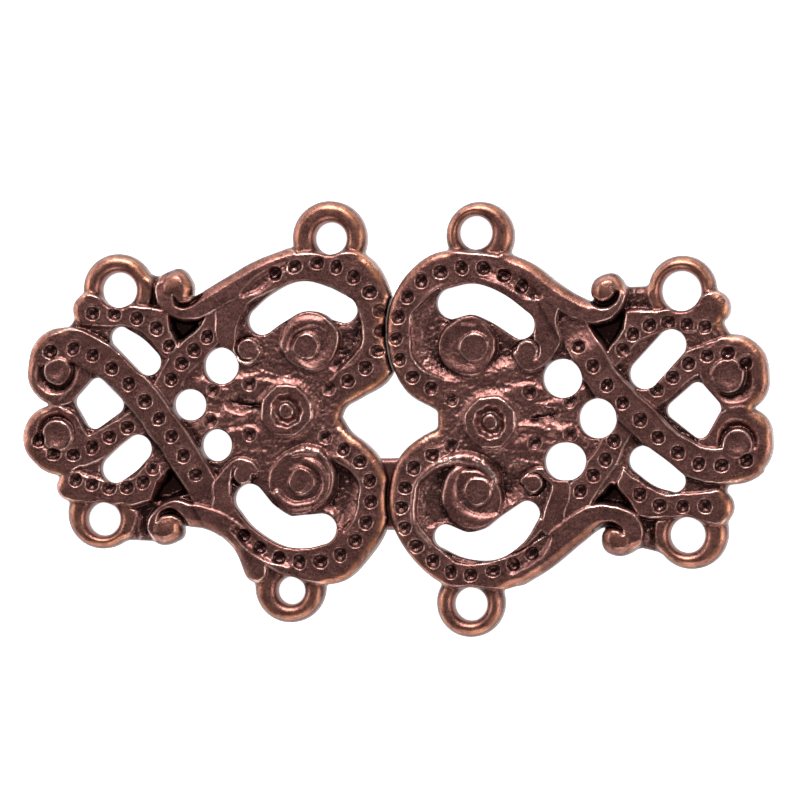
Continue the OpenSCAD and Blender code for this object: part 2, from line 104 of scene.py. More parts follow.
# The two castings, hook half and eye half. Each is zinc alloy cast in one piece, copper-plated and darkened,
# and is sewn to one edge of a cloak through its four loops. Each is drawn in its own frame, in millimetres,
# with the middle of its octagon at the origin and x pointing away from the other half.
# spacing of the grid that the faces are worked out on
GRID = 0.105
HOOK = dict(
    name="hook_half",
    # where the half lies in the fastened clasp: x, y, turn
    place=(8.61, -0.23, np.radians(2.5)),
    # sewing loops: x, y, outer radius, hole x, hole y, hole radius
    loops=[
        (-0.3, 16.8, 3.1, -0.7, 17.1, 1.5), (-2.6, -16.3, 3.1, -2.6, -16.4, 1.5),
        (17.8, 11.1, 3.1, 17.7, 11, 1.8), (17.7, -10.8, 3.3, 17.3, -11, 1.6),
    ],
    # ground between the straps: corners
    core=[
        (-4, 14.7), (3.2, 13.6), (8, 9.8), (10.6, 9), (13.8, 8), (20.7, 9.1), (22.4, 6), (23.8, 2.8),
        (23.4, 0.3), (23.9, -2.6), (21.9, -5.3), (20.2, -8.6), (14.9, -9.5), (9.5, -9.3), (5.8, -10.9),
        (0.2, -14.1), (-4.4, -13.4), (-8, -8.5), (-7.8, -4), (-4.9, -0.9), (-4.8, 1.8), (-7.6, 6),
        (-7.4, 11.4),
    ],
    # dotted frames round the lobes: stations x, y, half width
    frames=[
        [(4.3, 12.3, 0.9), (1.8, 13.7, 1.1), (-1.3, 14.2, 1.2), (-3.9, 14, 1.5), (-6.1, 12.6, 1.4),
         (-7.7, 10.5, 1.1), (-8, 8, 1.1), (-7.7, 5.8, 1.1), (-6.5, 3.8, 1.3), (-4.5, 2.6, 1.4)],
        [(4.6, -11.8, 1.1), (2.8, -12.9, 1.2), (0.6, -13.8, 1.4), (-1.7, -13.8, 1.2), (-3.9, -13.6, 1.2),
         (-5.7, -12.5, 1.2), (-7.3, -10.5, 1.2), (-8.4, -8.2, 1.1), (-8.3, -5.7, 1.2), (-7.2, -3.5, 1.4),
         (-5.5, -2.2, 1.4), (-4.2, -1.4, 1.1)],
    ],
    # straps that pass under the crossing one: outer, inner, upper side, lower side
    low=[
        [(22.5, 5.4, 1.4), (19.9, 4.9, 1.3), (17.8, 4, 1.2), (15.4, 2.3, 1.2), (13.6, 1, 1.3)],
        [(11.9, -1.1, 1.1), (11.1, -2.2, 1.1), (10.3, -3.7, 1.2), (9.2, -5.1, 1.2), (8, -6.7, 1.3),
         (7.2, -8.1, 1.3)],
        [(11.2, 5, 0.7), (12.4, 6.4, 0.8), (13.8, 7.7, 1), (15.9, 8.4, 1), (18.4, 8.6, 1.2),
         (20.6, 9.4, 1.5)],
        [(12.2, -6.1, 0.8), (13.4, -7.3, 1), (15.1, -8.3, 1), (17.7, -8.5, 1.1), (20, -8.6, 1.6)],
    ],
    # plain flats beside the straps: height, corners
    fills=[
        (2.7, [(12.7, 9.3), (15.3, 9.3), (16.6, 9.4), (19.5, 9.7), (19.5, 7.5), (14.6, 7.9), (12.6, 6.2),
               (12.3, 6.9)]),
        (2.7, [(11.5, -6.1), (13, -9), (13.9, -9.3), (18.7, -9.6), (18.8, -7.2), (15.6, -7.3), (13.4, -6.2),
               (12, -4.7)]),
        (2.36, [(6.3, 9.4), (6.6, 6.2), (7.8, 5.2), (9, 6), (8.6, 8.8)]),
    ],
    # strap that crosses over the others, and the side of it that has the lip
    crossing=[
        (7.9, 8, 1.4), (9, 6, 1.5), (10.3, 3.6, 1.5), (11.9, 1.5, 1.5), (13.5, -0.2, 1.5), (15, -1.9, 1.5),
        (16.8, -3.4, 1.5), (18.8, -4.5, 1.5), (21.4, -4.9, 1.6), (23, -4.6, 1.4),
    ],
    crossing_lip=1,
    # scrolled outer lobes
    lobes=[[(22.2, 3.7, 3.1), (22.5, 2.7, 2.8)], [(22, -3.2, 3.4), (23, -2.2, 2.4)]],
    # arms that end in balls
    arms=[
        [(1.9, 14.4, 0.8), (4.1, 13.2, 0.9), (6.1, 11.4, 1), (8, 10.1, 1), (9.8, 9.5, 0.9), (11.3, 9.9, 0.9),
         (12, 11.1, 0.8), (11.5, 12.1, 0.8), (10.7, 11.8, 0.8)],
        [(2, -13.8, 1.1), (4.3, -12.4, 1.2), (6.9, -10.3, 1.3), (9, -9.1, 1.1), (10.8, -9, 0.9),
         (12.2, -9.7, 0.9), (12.5, -11, 0.9), (11.5, -11.9, 0.7), (10.5, -11.6, 0.7)],
    ],
    # low webs between the balls and the loops, then between the arms and the straps
    webs=[
        [(12.3, 10.4, 1.2), (14.9, 10.2, 1.4)], [(12.6, -10.6, 1.2), (15, -11, 1.5)],
        [(11.3, 8.6, 1.1), (14.8, 9.3, 1.1)], [(12.2, -8.5, 1.1), (14.5, -9.5, 0.7)],
    ],
    # stems that run from the arms to the small curls
    stems=[
        [(5.7, 10.8, 1.2), (5.4, 8.8, 1), (5.5, 6.9, 1.2), (4.6, 5.3, 0.7), (3.4, 5, 0.5), (2.7, 6, 0.4)],
        [(5.2, -9.7, 1), (5.5, -8.3, 0.9), (6, -6.8, 0.9), (5.9, -5.7, 0.8), (4.9, -5, 0.5), (3.9, -4.9, 0.4),
         (2.8, -5.5, 0.3)],
    ],
    # windows cut through: two kidneys, three rounds, two ovals, then the diamond's corners
    windows=[
        [(-3.1, 10.8, 1.4), (-1.1, 11.1, 1.4), (1, 10.2, 1.4), (3.1, 8.6, 1.3)],
        [(-4.6, -10.2, 1.1), (-2.6, -11.1, 1.2), (-0.4, -11, 1.5), (1.4, -9.9, 1.6), (2.9, -8.5, 1.2)],
        [(6.6, 3.6, 1.75), (6.7, 3.6, 1.75)],
        [(9.7, -0.1, 1.75), (9.7, -0.2, 1.75)],
        [(6.4, -3.9, 1.7), (6.8, -3.9, 1.7)],
        [(14.1, 3.7, 1.4), (15.5, 5.1, 1.4), (16.6, 6.2, 1.4)],
        [(13.6, -4.1, 1.3), (15.1, -5.3, 1.3), (16.4, -6.1, 1)],
    ],
    diamond=[(15.4, 0.3), (18.9, 3.1), (21.1, 0.4), (19.1, -2.8)],
    # rows of punched dots: count, points on the row
    dots=[
        (13, [(3.4, 12.1), (0.4, 13.8), (-3.9, 13.7), (-6.9, 11.8), (-8.2, 8.2), (-7.3, 4.8), (-3.6, 2.2)]),
        (13, [(-3.7, -2), (-7.1, -3.9), (-8.4, -7.9), (-6.8, -11.5), (-3.4, -13.5), (0.4, -13.3),
              (3.2, -12.1)]),
        (6, [(15.2, 2.2), (18.2, 4.4), (21.3, 5.3), (23.3, 4.2)]),
        (4, [(11.1, -2.2), (10.3, -3.7), (9.2, -5.1), (7.9, -6.6)]),
        (6, [(12.3, 5.9), (13.4, 7.3), (15.9, 8.3), (19.8, 7.8)]),
        (4, [(13.3, -7.2), (15, -8.3), (16.9, -8.5), (19, -8.4)]),
        (10, [(8.3, 6.4), (10.6, 3.1), (13.3, -0.2), (16.8, -3.5), (19.9, -4.8), (23, -4.5)]),
        (1, [(3.7, 2.5), (3.8, 2.5)]), (1, [(7.3, 1.5), (7.4, 1.5)]),
        (1, [(7.2, -1.5), (7.3, -1.5)]), (1, [(3.9, -2.2), (4, -2.2)]),
    ],
    # scrolls in the lobes: disc x, y, radius, boss x, y, radius
    scrolls=[
        (-1.8, 6.9, 2.6, -1.1, 6.8, 1.3),
        (-1.9, -7, 2.7, -1.4, -6.3, 1.3),
    ],
    # round bosses in the outer curls, the small curls and the outer lobes: x, y, radius
    curls=[
        (10.9, 11.3, 1), (11, -11.1, 1.1), (3.6, 6.2, 1), (3.6, -5.8, 0.8), (21.7, 3.2, 1.5),
        (22.2, -3, 1.3),
    ],
    # shallow dishes that the outer bosses stand in: x, y, radius
    dishes=[(22.2, 2.6, 2), (22.2, -2.6, 2)],
    # hollow ground inside the lobes: corners
    bowls=[
        [(-3.9, 12.3), (-5.7, 10.8), (-6.8, 9.1), (-7, 7.2), (-6.2, 5.3), (-4.5, 3.8), (-2.8, 3.6),
         (0.2, 4.3), (2.7, 4.7), (4, 5.4), (3, 8.2), (-0.6, 9.3)],
        [(-4.8, -3.7), (-6, -4.6), (-6.8, -6.1), (-6.9, -8.1), (-6.3, -9.6), (-5.1, -9.3), (-2.4, -9.8),
         (2.3, -7.6), (4.2, -4.5), (0.6, -3), (-2.1, -2.9)],
    ],
    # deep pockets that are not cut through: height of the floor, corners
    pockets=[
        (1, [(9.1, 7.9), (10, 8.9), (12.4, 9.3), (12.5, 8.5), (11.6, 6.5), (10.8, 5.9)]),
        (1, [(9, -8.2), (9.8, -7.1), (10.8, -6.1), (11.5, -6.3), (12.1, -7.3), (12.8, -8.6), (12.7, -8.9),
             (11.9, -8.5), (10.6, -8.1)]),
        (2.1, [(-5.9, -9.6), (-6.8, -7.8), (-6.8, -6.2), (-6.1, -5), (-4.7, -4.1), (-3.9, -4), (-4.3, -5.6),
             (-4.4, -7.7), (-4, -8.8)]),
    ],
    # smooth flats between the frames and the kidney windows: stations
    flats=[
        [(-3.6, 12.4, 0.5), (-0.5, 12.7, 0.6), (1.7, 11.9, 0.8), (3.8, 10.3, 0.8), (4.7, 8.5, 0.6)],
        [(-5, -9.6, 0.5), (-2.8, -11.2, 0.6), (-0.5, -11.7, 0.6), (2.1, -10.8, 0.8), (3.7, -9.4, 0.8)],
    ],
    # sunk channels where the frames start beside the arms
    channels=[
        [(0.4, 13.6, 0.4), (2, 13, 0.6), (3.7, 12, 0.7), (4.9, 11.2, 0.4)],
        [(1.4, -13.4, 0.5), (2.6, -12.7, 0.6), (3.5, -11.9, 0.8), (4.3, -11.1, 0.7), (4.9, -10.8, 0.3)],
    ],
    # round outer turns of the scrolls
    tubes=[
        [(-3.2, 9.2, 0.4), (-1.9, 9.3, 0.6), (-0.5, 9, 0.7), (0.7, 8, 0.7), (1.3, 6.8, 0.5)],
        [(1.2, -8.4, 0.5), (-0.2, -8.9, 0.6), (-1.6, -9, 0.7), (-3, -8.4, 0.8), (-4, -7.2, 0.8),
         (-4.1, -5.9, 0.7), (-3.5, -4.7, 0.6), (-2.4, -4.1, 0.5), (-1.2, -4.4, 0.4), (-0.5, -5.1, 0.2)],
    ],
    # thin raised lines of the scrolls, the frames and the rosette
    ridges=[
        [(-3.9, 12.4, 0.2), (-5.1, 11.7, 0.2), (-6.1, 10.6, 0.2), (-6.7, 9.4, 0.2), (-7, 7.9, 0.2),
         (-6.8, 6.8, 0.2), (-6.4, 5.6, 0.2), (-5.4, 4.5, 0.2), (-4.2, 3.8, 0.2), (-3.3, 3.6, 0.1)],
        [(-3.8, 9.2, 0.2), (-4.3, 8, 0.2), (-4.4, 6.8, 0.2), (-3.9, 5.4, 0.2), (-3, 4.4, 0.2),
         (-1.7, 4.1, 0.2), (-0.6, 4.4, 0.2), (0.2, 5.4, 0.2), (0.3, 6.6, 0.2), (-0.2, 7.5, 0.2),
         (-1, 7.8, 0.2), (-1.8, 7.8, 0.1)],
        [(1.6, 3.2, 0.1), (2.9, 3.1, 0.3), (4.2, 3.2, 0.1)],
        [(4.2, 1.4, 0.1), (4.9, 1.2, 0.2), (5.4, 1.1, 0.1)],
        [(-0.3, 12.9, 0.1), (1.3, 12.3, 0.2), (3, 11.3, 0.2), (3.7, 10.8, 0.1), (5.2, 10.8, 0.1)],
        [(1.5, -4, 0.1), (2.5, -3.8, 0.2), (4.8, -4.3, 0.2)],
        [(2.8, 6.7, 0.1), (3.6, 7.1, 0.2), (4.5, 6.6, 0.2), (4.6, 5.8, 0.1)],
        [(12.6, 9.5, 0.1), (15.2, 9.4, 0.2), (16.5, 9.5, 0.2), (19.4, 9.7, 0.1)],
        [(21, 0, 0.1), (22.2, 0.2, 0.2), (23.4, 0.1, 0.2), (24.4, -0.7, 0.1)],
    ],
    # rounded bands that sweep from a frame over the top of its scroll
    sweeps=[
        [(-6.1, -11, 0.2), (-7.1, -9.5, 0.2), (-7.4, -8.1, 0.2), (-7.4, -6.7, 0.2), (-7, -5.3, 0.2),
         (-6.3, -4.5, 0.2), (-5.1, -3.7, 0.3), (-3.8, -3.3, 0.4), (-2.2, -3.3, 0.5), (-1, -3.7, 0.5),
         (-0.2, -4.5, 0.4), (0.2, -5.3, 0.3), (0, -6, 0.1)],
    ],
    # grooves that part the balls of the outer curls from their arms
    grooves=[
        [(9.2, 10.7, 0.2), (10.5, 10.1, 0.3), (11.5, 10.3, 0.3), (12, 11.1, 0.2), (11.6, 11.6, 0.1)],
        [(9.1, -10.3, 0.3), (9.8, -9.9, 0.3), (10.6, -9.8, 0.3), (11.3, -10.1, 0.2), (11.6, -10.7, 0.1)],
    ],
    # leaves that fan out from the octagon
    leaves=[
        [(1.6, 2.4, 0.7), (3.7, 2.5, 1.1), (5.4, 2.4, 0.7)],
        [(1.8, -2.4, 0.7), (3.9, -2.2, 1.1), (5.4, -2.6, 0.7)],
        [(5.2, 1.2, 0.5), (7.3, 1.5, 1), (8.4, 2.3, 0.7)],
        [(5.2, -1, 0.5), (7.2, -1.5, 1), (8.3, -2.3, 0.7)],
    ],
    # dark dint beside the octagon, with a crest below it: stations
    indent=[(4, 0, 0.15), (4.8, 0.2, 0.3), (5.4, 0.3, 0.6)],
    crest=[(2.9, -0.6, 0.15), (4.1, -0.8, 0.4), (5.2, -1.1, 0.45)],
)
# the eye half has the same parts, each with its own places and widths
EYE = dict(
    name="eye_half",
    place=(-9.91, 0.68, np.radians(177.5)),
    loops=[
        (-0.9, 15.9, 3.2, -1, 16.2, 1.25), (-3.1, -15.8, 3.4, -3.2, -15.8, 1.45),
        (16.5, 10, 3.2, 16.4, 10.5, 1.5), (16, -10.4, 3.2, 15.9, -10.3, 1.6),
    ],
    core=[
        (-1.7, 14.4), (2.9, 12.6), (6.1, 10.7), (10.2, 10.6), (15.8, 8.6), (19.5, 7.9), (21.4, 5.7),
        (22.6, 2.6), (21.6, 0.3), (22.2, -2.9), (21, -5.6), (19.3, -8.4), (12.9, -8.7), (9.3, -8.9),
        (5.3, -11.3), (0.4, -13.8), (-6.5, -13.2), (-7.8, -10.5), (-8.2, -5.1), (-5.6, -2.1), (-4.9, 0.3),
        (-6.7, 3.1), (-8.3, 5.8), (-8.4, 9.4), (-6.2, 13.1),
    ],
    frames=[
        [(4, 10.8, 0.9), (1.8, 12.4, 1.2), (-0.8, 13.6, 1.3), (-2.9, 14, 1.4), (-5, 13.6, 1.7),
         (-6.9, 11.8, 1.5), (-8, 9.8, 1.5), (-8.3, 7.6, 1.4), (-8, 5.6, 1.4), (-6.8, 4, 1.4),
         (-5.3, 3, 1.4), (-4, 2.3, 1.3)],
        [(4.4, -10.9, 1.1), (2.1, -12.2, 1.1), (-0.5, -13.3, 1.1), (-3.3, -13.3, 1.2), (-5.7, -12.8, 1.8),
         (-7.3, -10.8, 1.6), (-7.8, -8.7, 1.4), (-8, -6.4, 1.3), (-7.7, -4.5, 1.8), (-6, -3, 1.6),
         (-4.4, -1.7, 1.3)],
    ],
    low=[
        [(22.2, 4, 1.4), (20.5, 4.8, 1.3), (19.1, 4.7, 1.3), (17.6, 4.1, 1.2), (15.9, 3.2, 1.2),
         (14.4, 2.2, 1.2), (13.2, 1.2, 1.2)],
        [(11.3, -1.1, 1.2), (10.6, -2.4, 1.2), (9.9, -3.7, 1.2), (8.8, -5, 1.2), (7.5, -6.4, 1.2),
         (6.5, -7.9, 1.2)],
        [(12.1, 6.1, 0.9), (13.3, 7.4, 1), (15.4, 8.1, 1.1), (17.5, 8, 1.2), (19.5, 7.7, 1.3)],
        [(11.1, -5.2, 0.9), (12.4, -6.9, 1), (13.8, -7.9, 1), (16.1, -8.1, 1.1), (18.5, -8.4, 1.5)],
    ],
    fills=[
        (2.7, [(11.3, -8.6), (10.9, -5.6), (11.8, -5.3), (13.6, -7), (18.3, -7.4), (18.4, -9.5), (14, -9)]),
        (2.7, [(12, 8.6), (11.4, 6.2), (12.6, 5.8), (14.2, 7.4), (19, 7), (19.2, 9), (14, 9.1)]),
        (2.36, [(5.8, 9.4), (6.2, 6.4), (7.4, 5.2), (8.4, 5.8), (8.2, 8.6)]),
    ],
    crossing=[
        (6.9, 8.1, 1.4), (8.1, 6.1, 1.4), (9.2, 4.4, 1.5), (10.3, 2.9, 1.5), (11.6, 1.3, 1.5),
        (12.9, -0.4, 1.5), (14.4, -2, 1.5), (16.1, -3.4, 1.5), (18, -4.4, 1.5), (20, -5.1, 1.5),
        (21.8, -4.5, 1.4),
    ],
    crossing_lip=-1,
    lobes=[[(21.2, 3.3, 2.9), (20.7, 3.9, 2.8)], [(20.7, -3.6, 3.1), (21, -2.5, 2.9)]],
    arms=[
        [(2.2, 14.5, 1.1), (3.3, 12.4, 1), (5, 10.8, 1), (6.8, 10, 1), (8.5, 9.8, 1), (10.1, 9.6, 0.9),
         (11.3, 10.6, 0.9), (10.9, 11.7, 0.9), (9.8, 11.4, 0.8)],
        [(0.4, -13.9, 0.9), (2.9, -12.7, 1), (5.3, -11.1, 1.1), (7.1, -9.9, 1.1), (8.8, -9, 1),
         (10.4, -9, 0.9), (11.5, -9.8, 0.8), (11.6, -11.1, 0.8), (10.5, -11.6, 0.9)],
    ],
    webs=[
        [(14, 10.9, 1.4), (11.9, 10.8, 1.5)], [(13, -10.5, 1.3), (11.4, -10.2, 1.4)],
        [(12.1, 9, 0.9), (9.4, 8.3, 1.1)], [(12.8, -9.2, 0.9), (9.7, -8.1, 1.1)],
    ],
    stems=[
        [(6.1, 10.6, 1.1), (5.6, 9.4, 1), (5.6, 8.2, 0.8), (5.7, 7.1, 0.8), (5.3, 6, 0.6), (4.3, 5, 0.5),
         (3.2, 5, 0.4), (2.6, 5.5, 0.4)],
        [(5.6, -10.9, 1.1), (5.6, -9.1, 1.2), (5.8, -7.7, 1), (5.6, -6.3, 0.8), (4.8, -4.9, 0.5),
         (3.6, -4.7, 0.5), (2.9, -5.3, 0.3)],
    ],
    windows=[
        [(3.1, 8.1, 1.4), (1.7, 9.6, 1.4), (-0.4, 10.8, 1.4), (-2.1, 10.8, 1.5), (-3.6, 10.5, 1.4)],
        [(2.7, -8.1, 1.3), (1.3, -9.3, 1.4), (-0.7, -10.4, 1.4), (-2.7, -10.1, 1.4), (-4.8, -9.4, 1.2)],
        [(6.3, 3.3, 1.4), (6.3, 3.4, 1.4)],
        [(9, -0.2, 1.4), (8.8, -0.2, 1.4)],
        [(6.2, -3.8, 1.6), (6.2, -3.9, 1.6)],
        [(15.5, 5.9, 1.3), (14.4, 4.9, 1.4), (13.5, 4, 1.3)],
        [(15.5, -6, 1), (14.1, -5, 1.2), (12.9, -3.9, 1.2)],
    ],
    diamond=[(19.7, -0.1), (17.6, -2.7), (14.4, 0.2), (17.8, 2.8)],
    dots=[
        (13, [(3.4, 11.4), (0.3, 13.2), (-3.8, 13.4), (-6.7, 11.6), (-8, 8), (-7.1, 4.5), (-3.7, 2.2)]),
        (12, [(1.5, -12.4), (-1.7, -13.4), (-5.5, -12.5), (-7.9, -9.8), (-8, -5.6), (-5.5, -3),
              (-3.8, -2.2)]),
        (6, [(14.5, 2.1), (17.6, 4), (20.5, 5), (22.5, 3.6)]),
        (4, [(10.6, -2.4), (9.8, -3.7), (8.8, -5), (7.5, -6.4)]),
        (6, [(12, 5.6), (12.8, 6.9), (15.4, 7.7), (19, 7.2)]),
        (5, [(11.1, -5.4), (12.4, -7.1), (14.9, -8.1), (18, -8.1)]),
        (10, [(8, 6.1), (10.3, 2.9), (12.9, -0.4), (16.2, -3.3), (19.3, -4.7), (21.8, -4.5)]),
        (1, [(3.3, 2.3), (3.4, 2.3)]), (1, [(6.9, 1.2), (7, 1.2)]),
        (1, [(6.8, -1.6), (6.9, -1.6)]), (1, [(3.5, -2.4), (3.6, -2.4)]),
    ],
    scrolls=[
        (-1.5, 6.4, 2.9, -1.6, 6.3, 1.2),
        (-1.8, -6.5, 2.7, -1.5, -6, 1.2),
    ],
    curls=[
        (10.5, 11, 1), (10.4, -10.7, 1), (3.7, 5.9, 0.9), (3.7, -5.5, 0.9), (20.8, 3.1, 1.4),
        (21, -2.7, 1.2),
    ],
    dishes=[(21, 2.8, 2), (21.2, -2.5, 2)],
    bowls=[
        [(-3.7, 3.9), (-4.9, 4), (-6.2, 4.9), (-6.8, 6.1), (-6.9, 8), (-6.2, 9.4), (-5.1, 10.5), (-4.6, 9.1),
         (-1.8, 8.9), (1.1, 7.6), (1.4, 5.9), (0.2, 4.2), (-1.9, 3.6)],
        [(-6.1, -9.6), (-7, -7.8), (-6.9, -6), (-5.8, -4.5), (-4, -3.9), (-2.5, -3.9), (0.6, -4.5),
         (1.2, -5.8), (-1, -7.8), (-3.8, -8.3), (-5.3, -8.1)],
    ],
    pockets=[
        (1, [(12, -8.6), (11.2, -8.7), (9.7, -8.1), (8.6, -7.8), (8.8, -7), (9.7, -6.1), (10.3, -6),
             (11.1, -7.1), (11.7, -7.7)]),
        (1, [(10.5, 5.8), (9.8, 5.8), (9.1, 6.8), (8.6, 7.6), (9.4, 8), (10.3, 8.5), (11.6, 8.6), (11.8, 8),
             (11.2, 6.9)]),
        (1.95, [(-6.1, -8.4), (-6.8, -7.4), (-6.8, -6.2), (-5.8, -4.8), (-4.4, -3.9), (-3.8, -4.2),
                (-4.5, -5), (-4.7, -6.6), (-4.6, -7.6)]),
        (1.95, [(-3.8, 4), (-4.9, 4.1), (-6, 4.9), (-6.6, 6.1), (-6.7, 8), (-6, 9.4), (-5.2, 10.2),
                (-4.9, 9.1), (-4, 8.6), (-4.3, 7.4), (-4.3, 5.6)]),
    ],
    flats=[
        [(5.2, 8.5, 0.8), (3.8, 10.2, 0.8), (1.8, 11.5, 0.8), (-0.1, 12.2, 0.7), (-2.4, 12.2, 0.7),
         (-4, 12, 0.6), (-5.4, 10.9, 0.5)],
        [(5, -9, 0.8), (4.2, -10.1, 0.7), (2.5, -11.2, 0.7), (0.4, -12.1, 0.6), (-1.5, -12.3, 0.6),
         (-3.7, -12, 0.6), (-5.3, -11.4, 0.6), (-6.2, -10.2, 0.5)],
    ],
    channels=[
        [(-0.7, 13.6, 0.4), (0.9, 13.2, 0.6), (2.7, 12, 0.7), (4.3, 10.9, 0.4)],
        [(0.6, -13.2, 0.4), (1.9, -12.3, 0.6), (3.1, -11.3, 0.7), (4.3, -10.4, 0.4)],
    ],
    tubes=[
        [(1, 6.7, 0.3), (0.4, 7.8, 0.5), (-0.7, 8.5, 0.5), (-2.1, 8.5, 0.5), (-3.3, 8, 0.5), (-3.8, 6.7, 0.5),
         (-3.4, 5.3, 0.5), (-2.3, 4.5, 0.5), (-1, 4.5, 0.5), (-0.2, 5.5, 0.4), (-0.2, 6.3, 0.3)],
        [(0.1, -4.6, 0.4), (0.5, -6, 0.5), (0, -7.4, 0.6), (-1.2, -8.2, 0.7), (-2.6, -8.2, 0.6),
         (-3.7, -7.3, 0.5), (-3.9, -6.2, 0.5), (-3.5, -5, 0.4)],
    ],
    ridges=[
        [(-6.1, -9.6, 0.1), (-6.7, -8.4, 0.2), (-7, -7.1, 0.2), (-6.8, -5.6, 0.2), (-5.9, -4.4, 0.2),
         (-4.2, -3.7, 0.2), (-3.8, -4, 0.1)],
        [(-3.1, -8.6, 0.1), (-4.2, -7.6, 0.2), (-4.6, -6.6, 0.2), (-4.4, -5.4, 0.2), (-3.5, -4.3, 0.2),
         (-2.3, -3.9, 0.2), (-1.1, -4.3, 0.2), (-0.4, -5.4, 0.2), (-0.6, -6.5, 0.2), (-1.4, -7.2, 0.2),
         (-2.3, -7, 0.2), (-2.7, -6.2, 0.2), (-2.4, -5.3, 0.1)],
        [(-3.7, 3.9, 0.1), (-4.9, 3.9, 0.2), (-6.1, 4.8, 0.2), (-6.8, 5.9, 0.2), (-7, 7.6, 0.2),
         (-6.5, 9.1, 0.2), (-5.4, 10.5, 0.1)],
        [(-0.4, 5.5, 0.2), (-1.2, 5.2, 0.3), (-2.1, 5.5, 0.3), (-2.4, 6.4, 0.2), (-1.9, 7.3, 0.2),
         (-1, 7.4, 0.1)],
        [(18.9, -9.5, 0.1), (17.6, -9.7, 0.2), (16.7, -9.2, 0.1)],
        [(14.9, -8.8, 0.1), (13.6, -8.8, 0.2), (12.8, -8.7, 0.1)],
        [(3.9, -3.1, 0.1), (2.6, -3.3, 0.3), (1.3, -3.2, 0.1)],
        [(3.1, 3.9, 0.1), (2.5, 3.8, 0.2), (1.8, 3.8, 0.1)],
        [(18.6, -3.1, 0.1), (19, -2.6, 0.2), (19.1, -1.8, 0.2), (20, -0.8, 0.2), (20.8, 0, 0.1)],
        [(20.7, 0.5, 0.1), (20.2, 1.1, 0.2), (19.1, 1.2, 0.2), (18.7, 2.3, 0.2), (18, 2.9, 0.1)],
        [(5.7, -1.7, 0.1), (5, -1.6, 0.2), (4.1, -1.6, 0.1)],
        [(4.9, -10, 0.1), (3.7, -10.4, 0.3), (2.7, -11, 0.1)],
        [(-0.7, 14.2, 0.1), (1.4, 13.7, 0.2), (3.1, 12.7, 0.2), (4.7, 11.1, 0.1)],
        [(8.4, -7.8, 0.1), (9.6, -6, 0.2), (10.9, -4.4, 0.2), (11.6, -2.9, 0.1)],
    ],
    sweeps=[
        [(-0.7, 4, 0.2), (-1.9, 3.6, 0.4), (-3.3, 3.7, 0.3), (-4.2, 5.3, 0.2), (-4.3, 6.7, 0.2),
         (-3.8, 7.9, 0.2), (-3, 8.7, 0.2)],
    ],
    grooves=[
        [(10.8, -9.9, 0.1), (10.3, -9.2, 0.2), (9.3, -9.3, 0.2), (8.4, -9.9, 0.2), (8, -10.5, 0.1)],
        [(11.4, 10.4, 0.1), (11, 9.8, 0.2), (10.1, 9.6, 0.3), (9.2, 10, 0.2), (8.6, 10.9, 0.2)],
    ],
    leaves=[
        [(1.6, 2.4, 0.7), (3.3, 2.3, 1.1), (5, 2.2, 0.7)],
        [(1.8, -2.4, 0.7), (3.5, -2.4, 1.1), (5, -2.6, 0.7)],
        [(5, 1, 0.5), (6.9, 1.2, 1), (7.9, 2, 0.7)],
        [(5, -1, 0.5), (6.8, -1.6, 1), (7.8, -2.3, 0.7)],
    ],
    indent=[(2.6, -0.4, 0.15), (3.9, -0.5, 0.3), (4.9, -0.7, 0.6)],
    crest=[(3.9, 0.6, 0.15), (4.7, 0.5, 0.35), (5.4, 0.2, 0.3)],
)


def smooth_row(row, steps=6):
    """Catmull-Rom curve through a row of stations: each span is the cubic that passes through its two
    stations with the slope of the line between their neighbours. Columns beyond x and y ride along."""
    p = np.array(row, float)
    p = np.vstack([2 * p[0] - p[1], p, 2 * p[-1] - p[-2]])
    a, b, c, d = p[:-3, None], p[1:-2, None], p[2:-1, None], p[3:, None]
    t = (np.arange(steps) / steps)[None, :, None]
    q = 0.5 * (2 * b + (c - a) * t + (2 * a - 5 * b + 4 * c - d) * t**2 + (3 * b - a - 3 * c + d) * t**3)
    return np.vstack([q.reshape(-1, p.shape[1]), p[-2]])


# distance given to places out of reach of a strap, and the reach beyond its edge
FAR = 9.0
STRAP_REACH = 1.5


def strap_field(x, y, row):
    """Inside distance, sideways place, length run and half width of a strap at every point: each point takes
    the nearest piece of the strap's middle line, and its inside distance is the half width less that
    distance."""
    p = smooth_row(row)
    inside = np.full(x.shape, -FAR)
    side, run, wide = np.zeros(x.shape), np.zeros(x.shape), np.full(x.shape, p[0, 2])
    reach = p[:, 2].max() + STRAP_REACH
    (left, low), (right, high) = p[:, :2].min(0) - reach, p[:, :2].max(0) + reach
    near = (x > left) & (x < right) & (y > low) & (y < high)
    px, py = x[near][:, None], y[near][:, None]
    a, b = p[:-1], p[1:]
    ab = b[:, :2] - a[:, :2]
    length = np.maximum(np.hypot(ab[:, 0], ab[:, 1]), 1e-9)
    t = np.clip(((px - a[:, 0]) * ab[:, 0] + (py - a[:, 1]) * ab[:, 1]) / length**2, 0, 1)
    dx, dy = px - a[:, 0] - t * ab[:, 0], py - a[:, 1] - t * ab[:, 1]
    half = a[:, 2] + t * (b[:, 2] - a[:, 2])
    gap = np.hypot(dx, dy) - half
    best = gap.argmin(1)
    pick = (np.arange(len(best)), best)
    inside[near] = -gap[pick]
    side[near] = ((ab[:, 0] * dy - ab[:, 1] * dx) / length)[pick]
    run[near] = (np.r_[0, np.cumsum(length)[:-1]] + t * length)[pick]
    wide[near] = half[pick]
    return inside, side, run, wide


def straps_field(x, y, rows):
    """Inside distance of several straps at once: the greatest of theirs."""
    return np.max([strap_field(x, y, row)[0] for row in rows], 0)


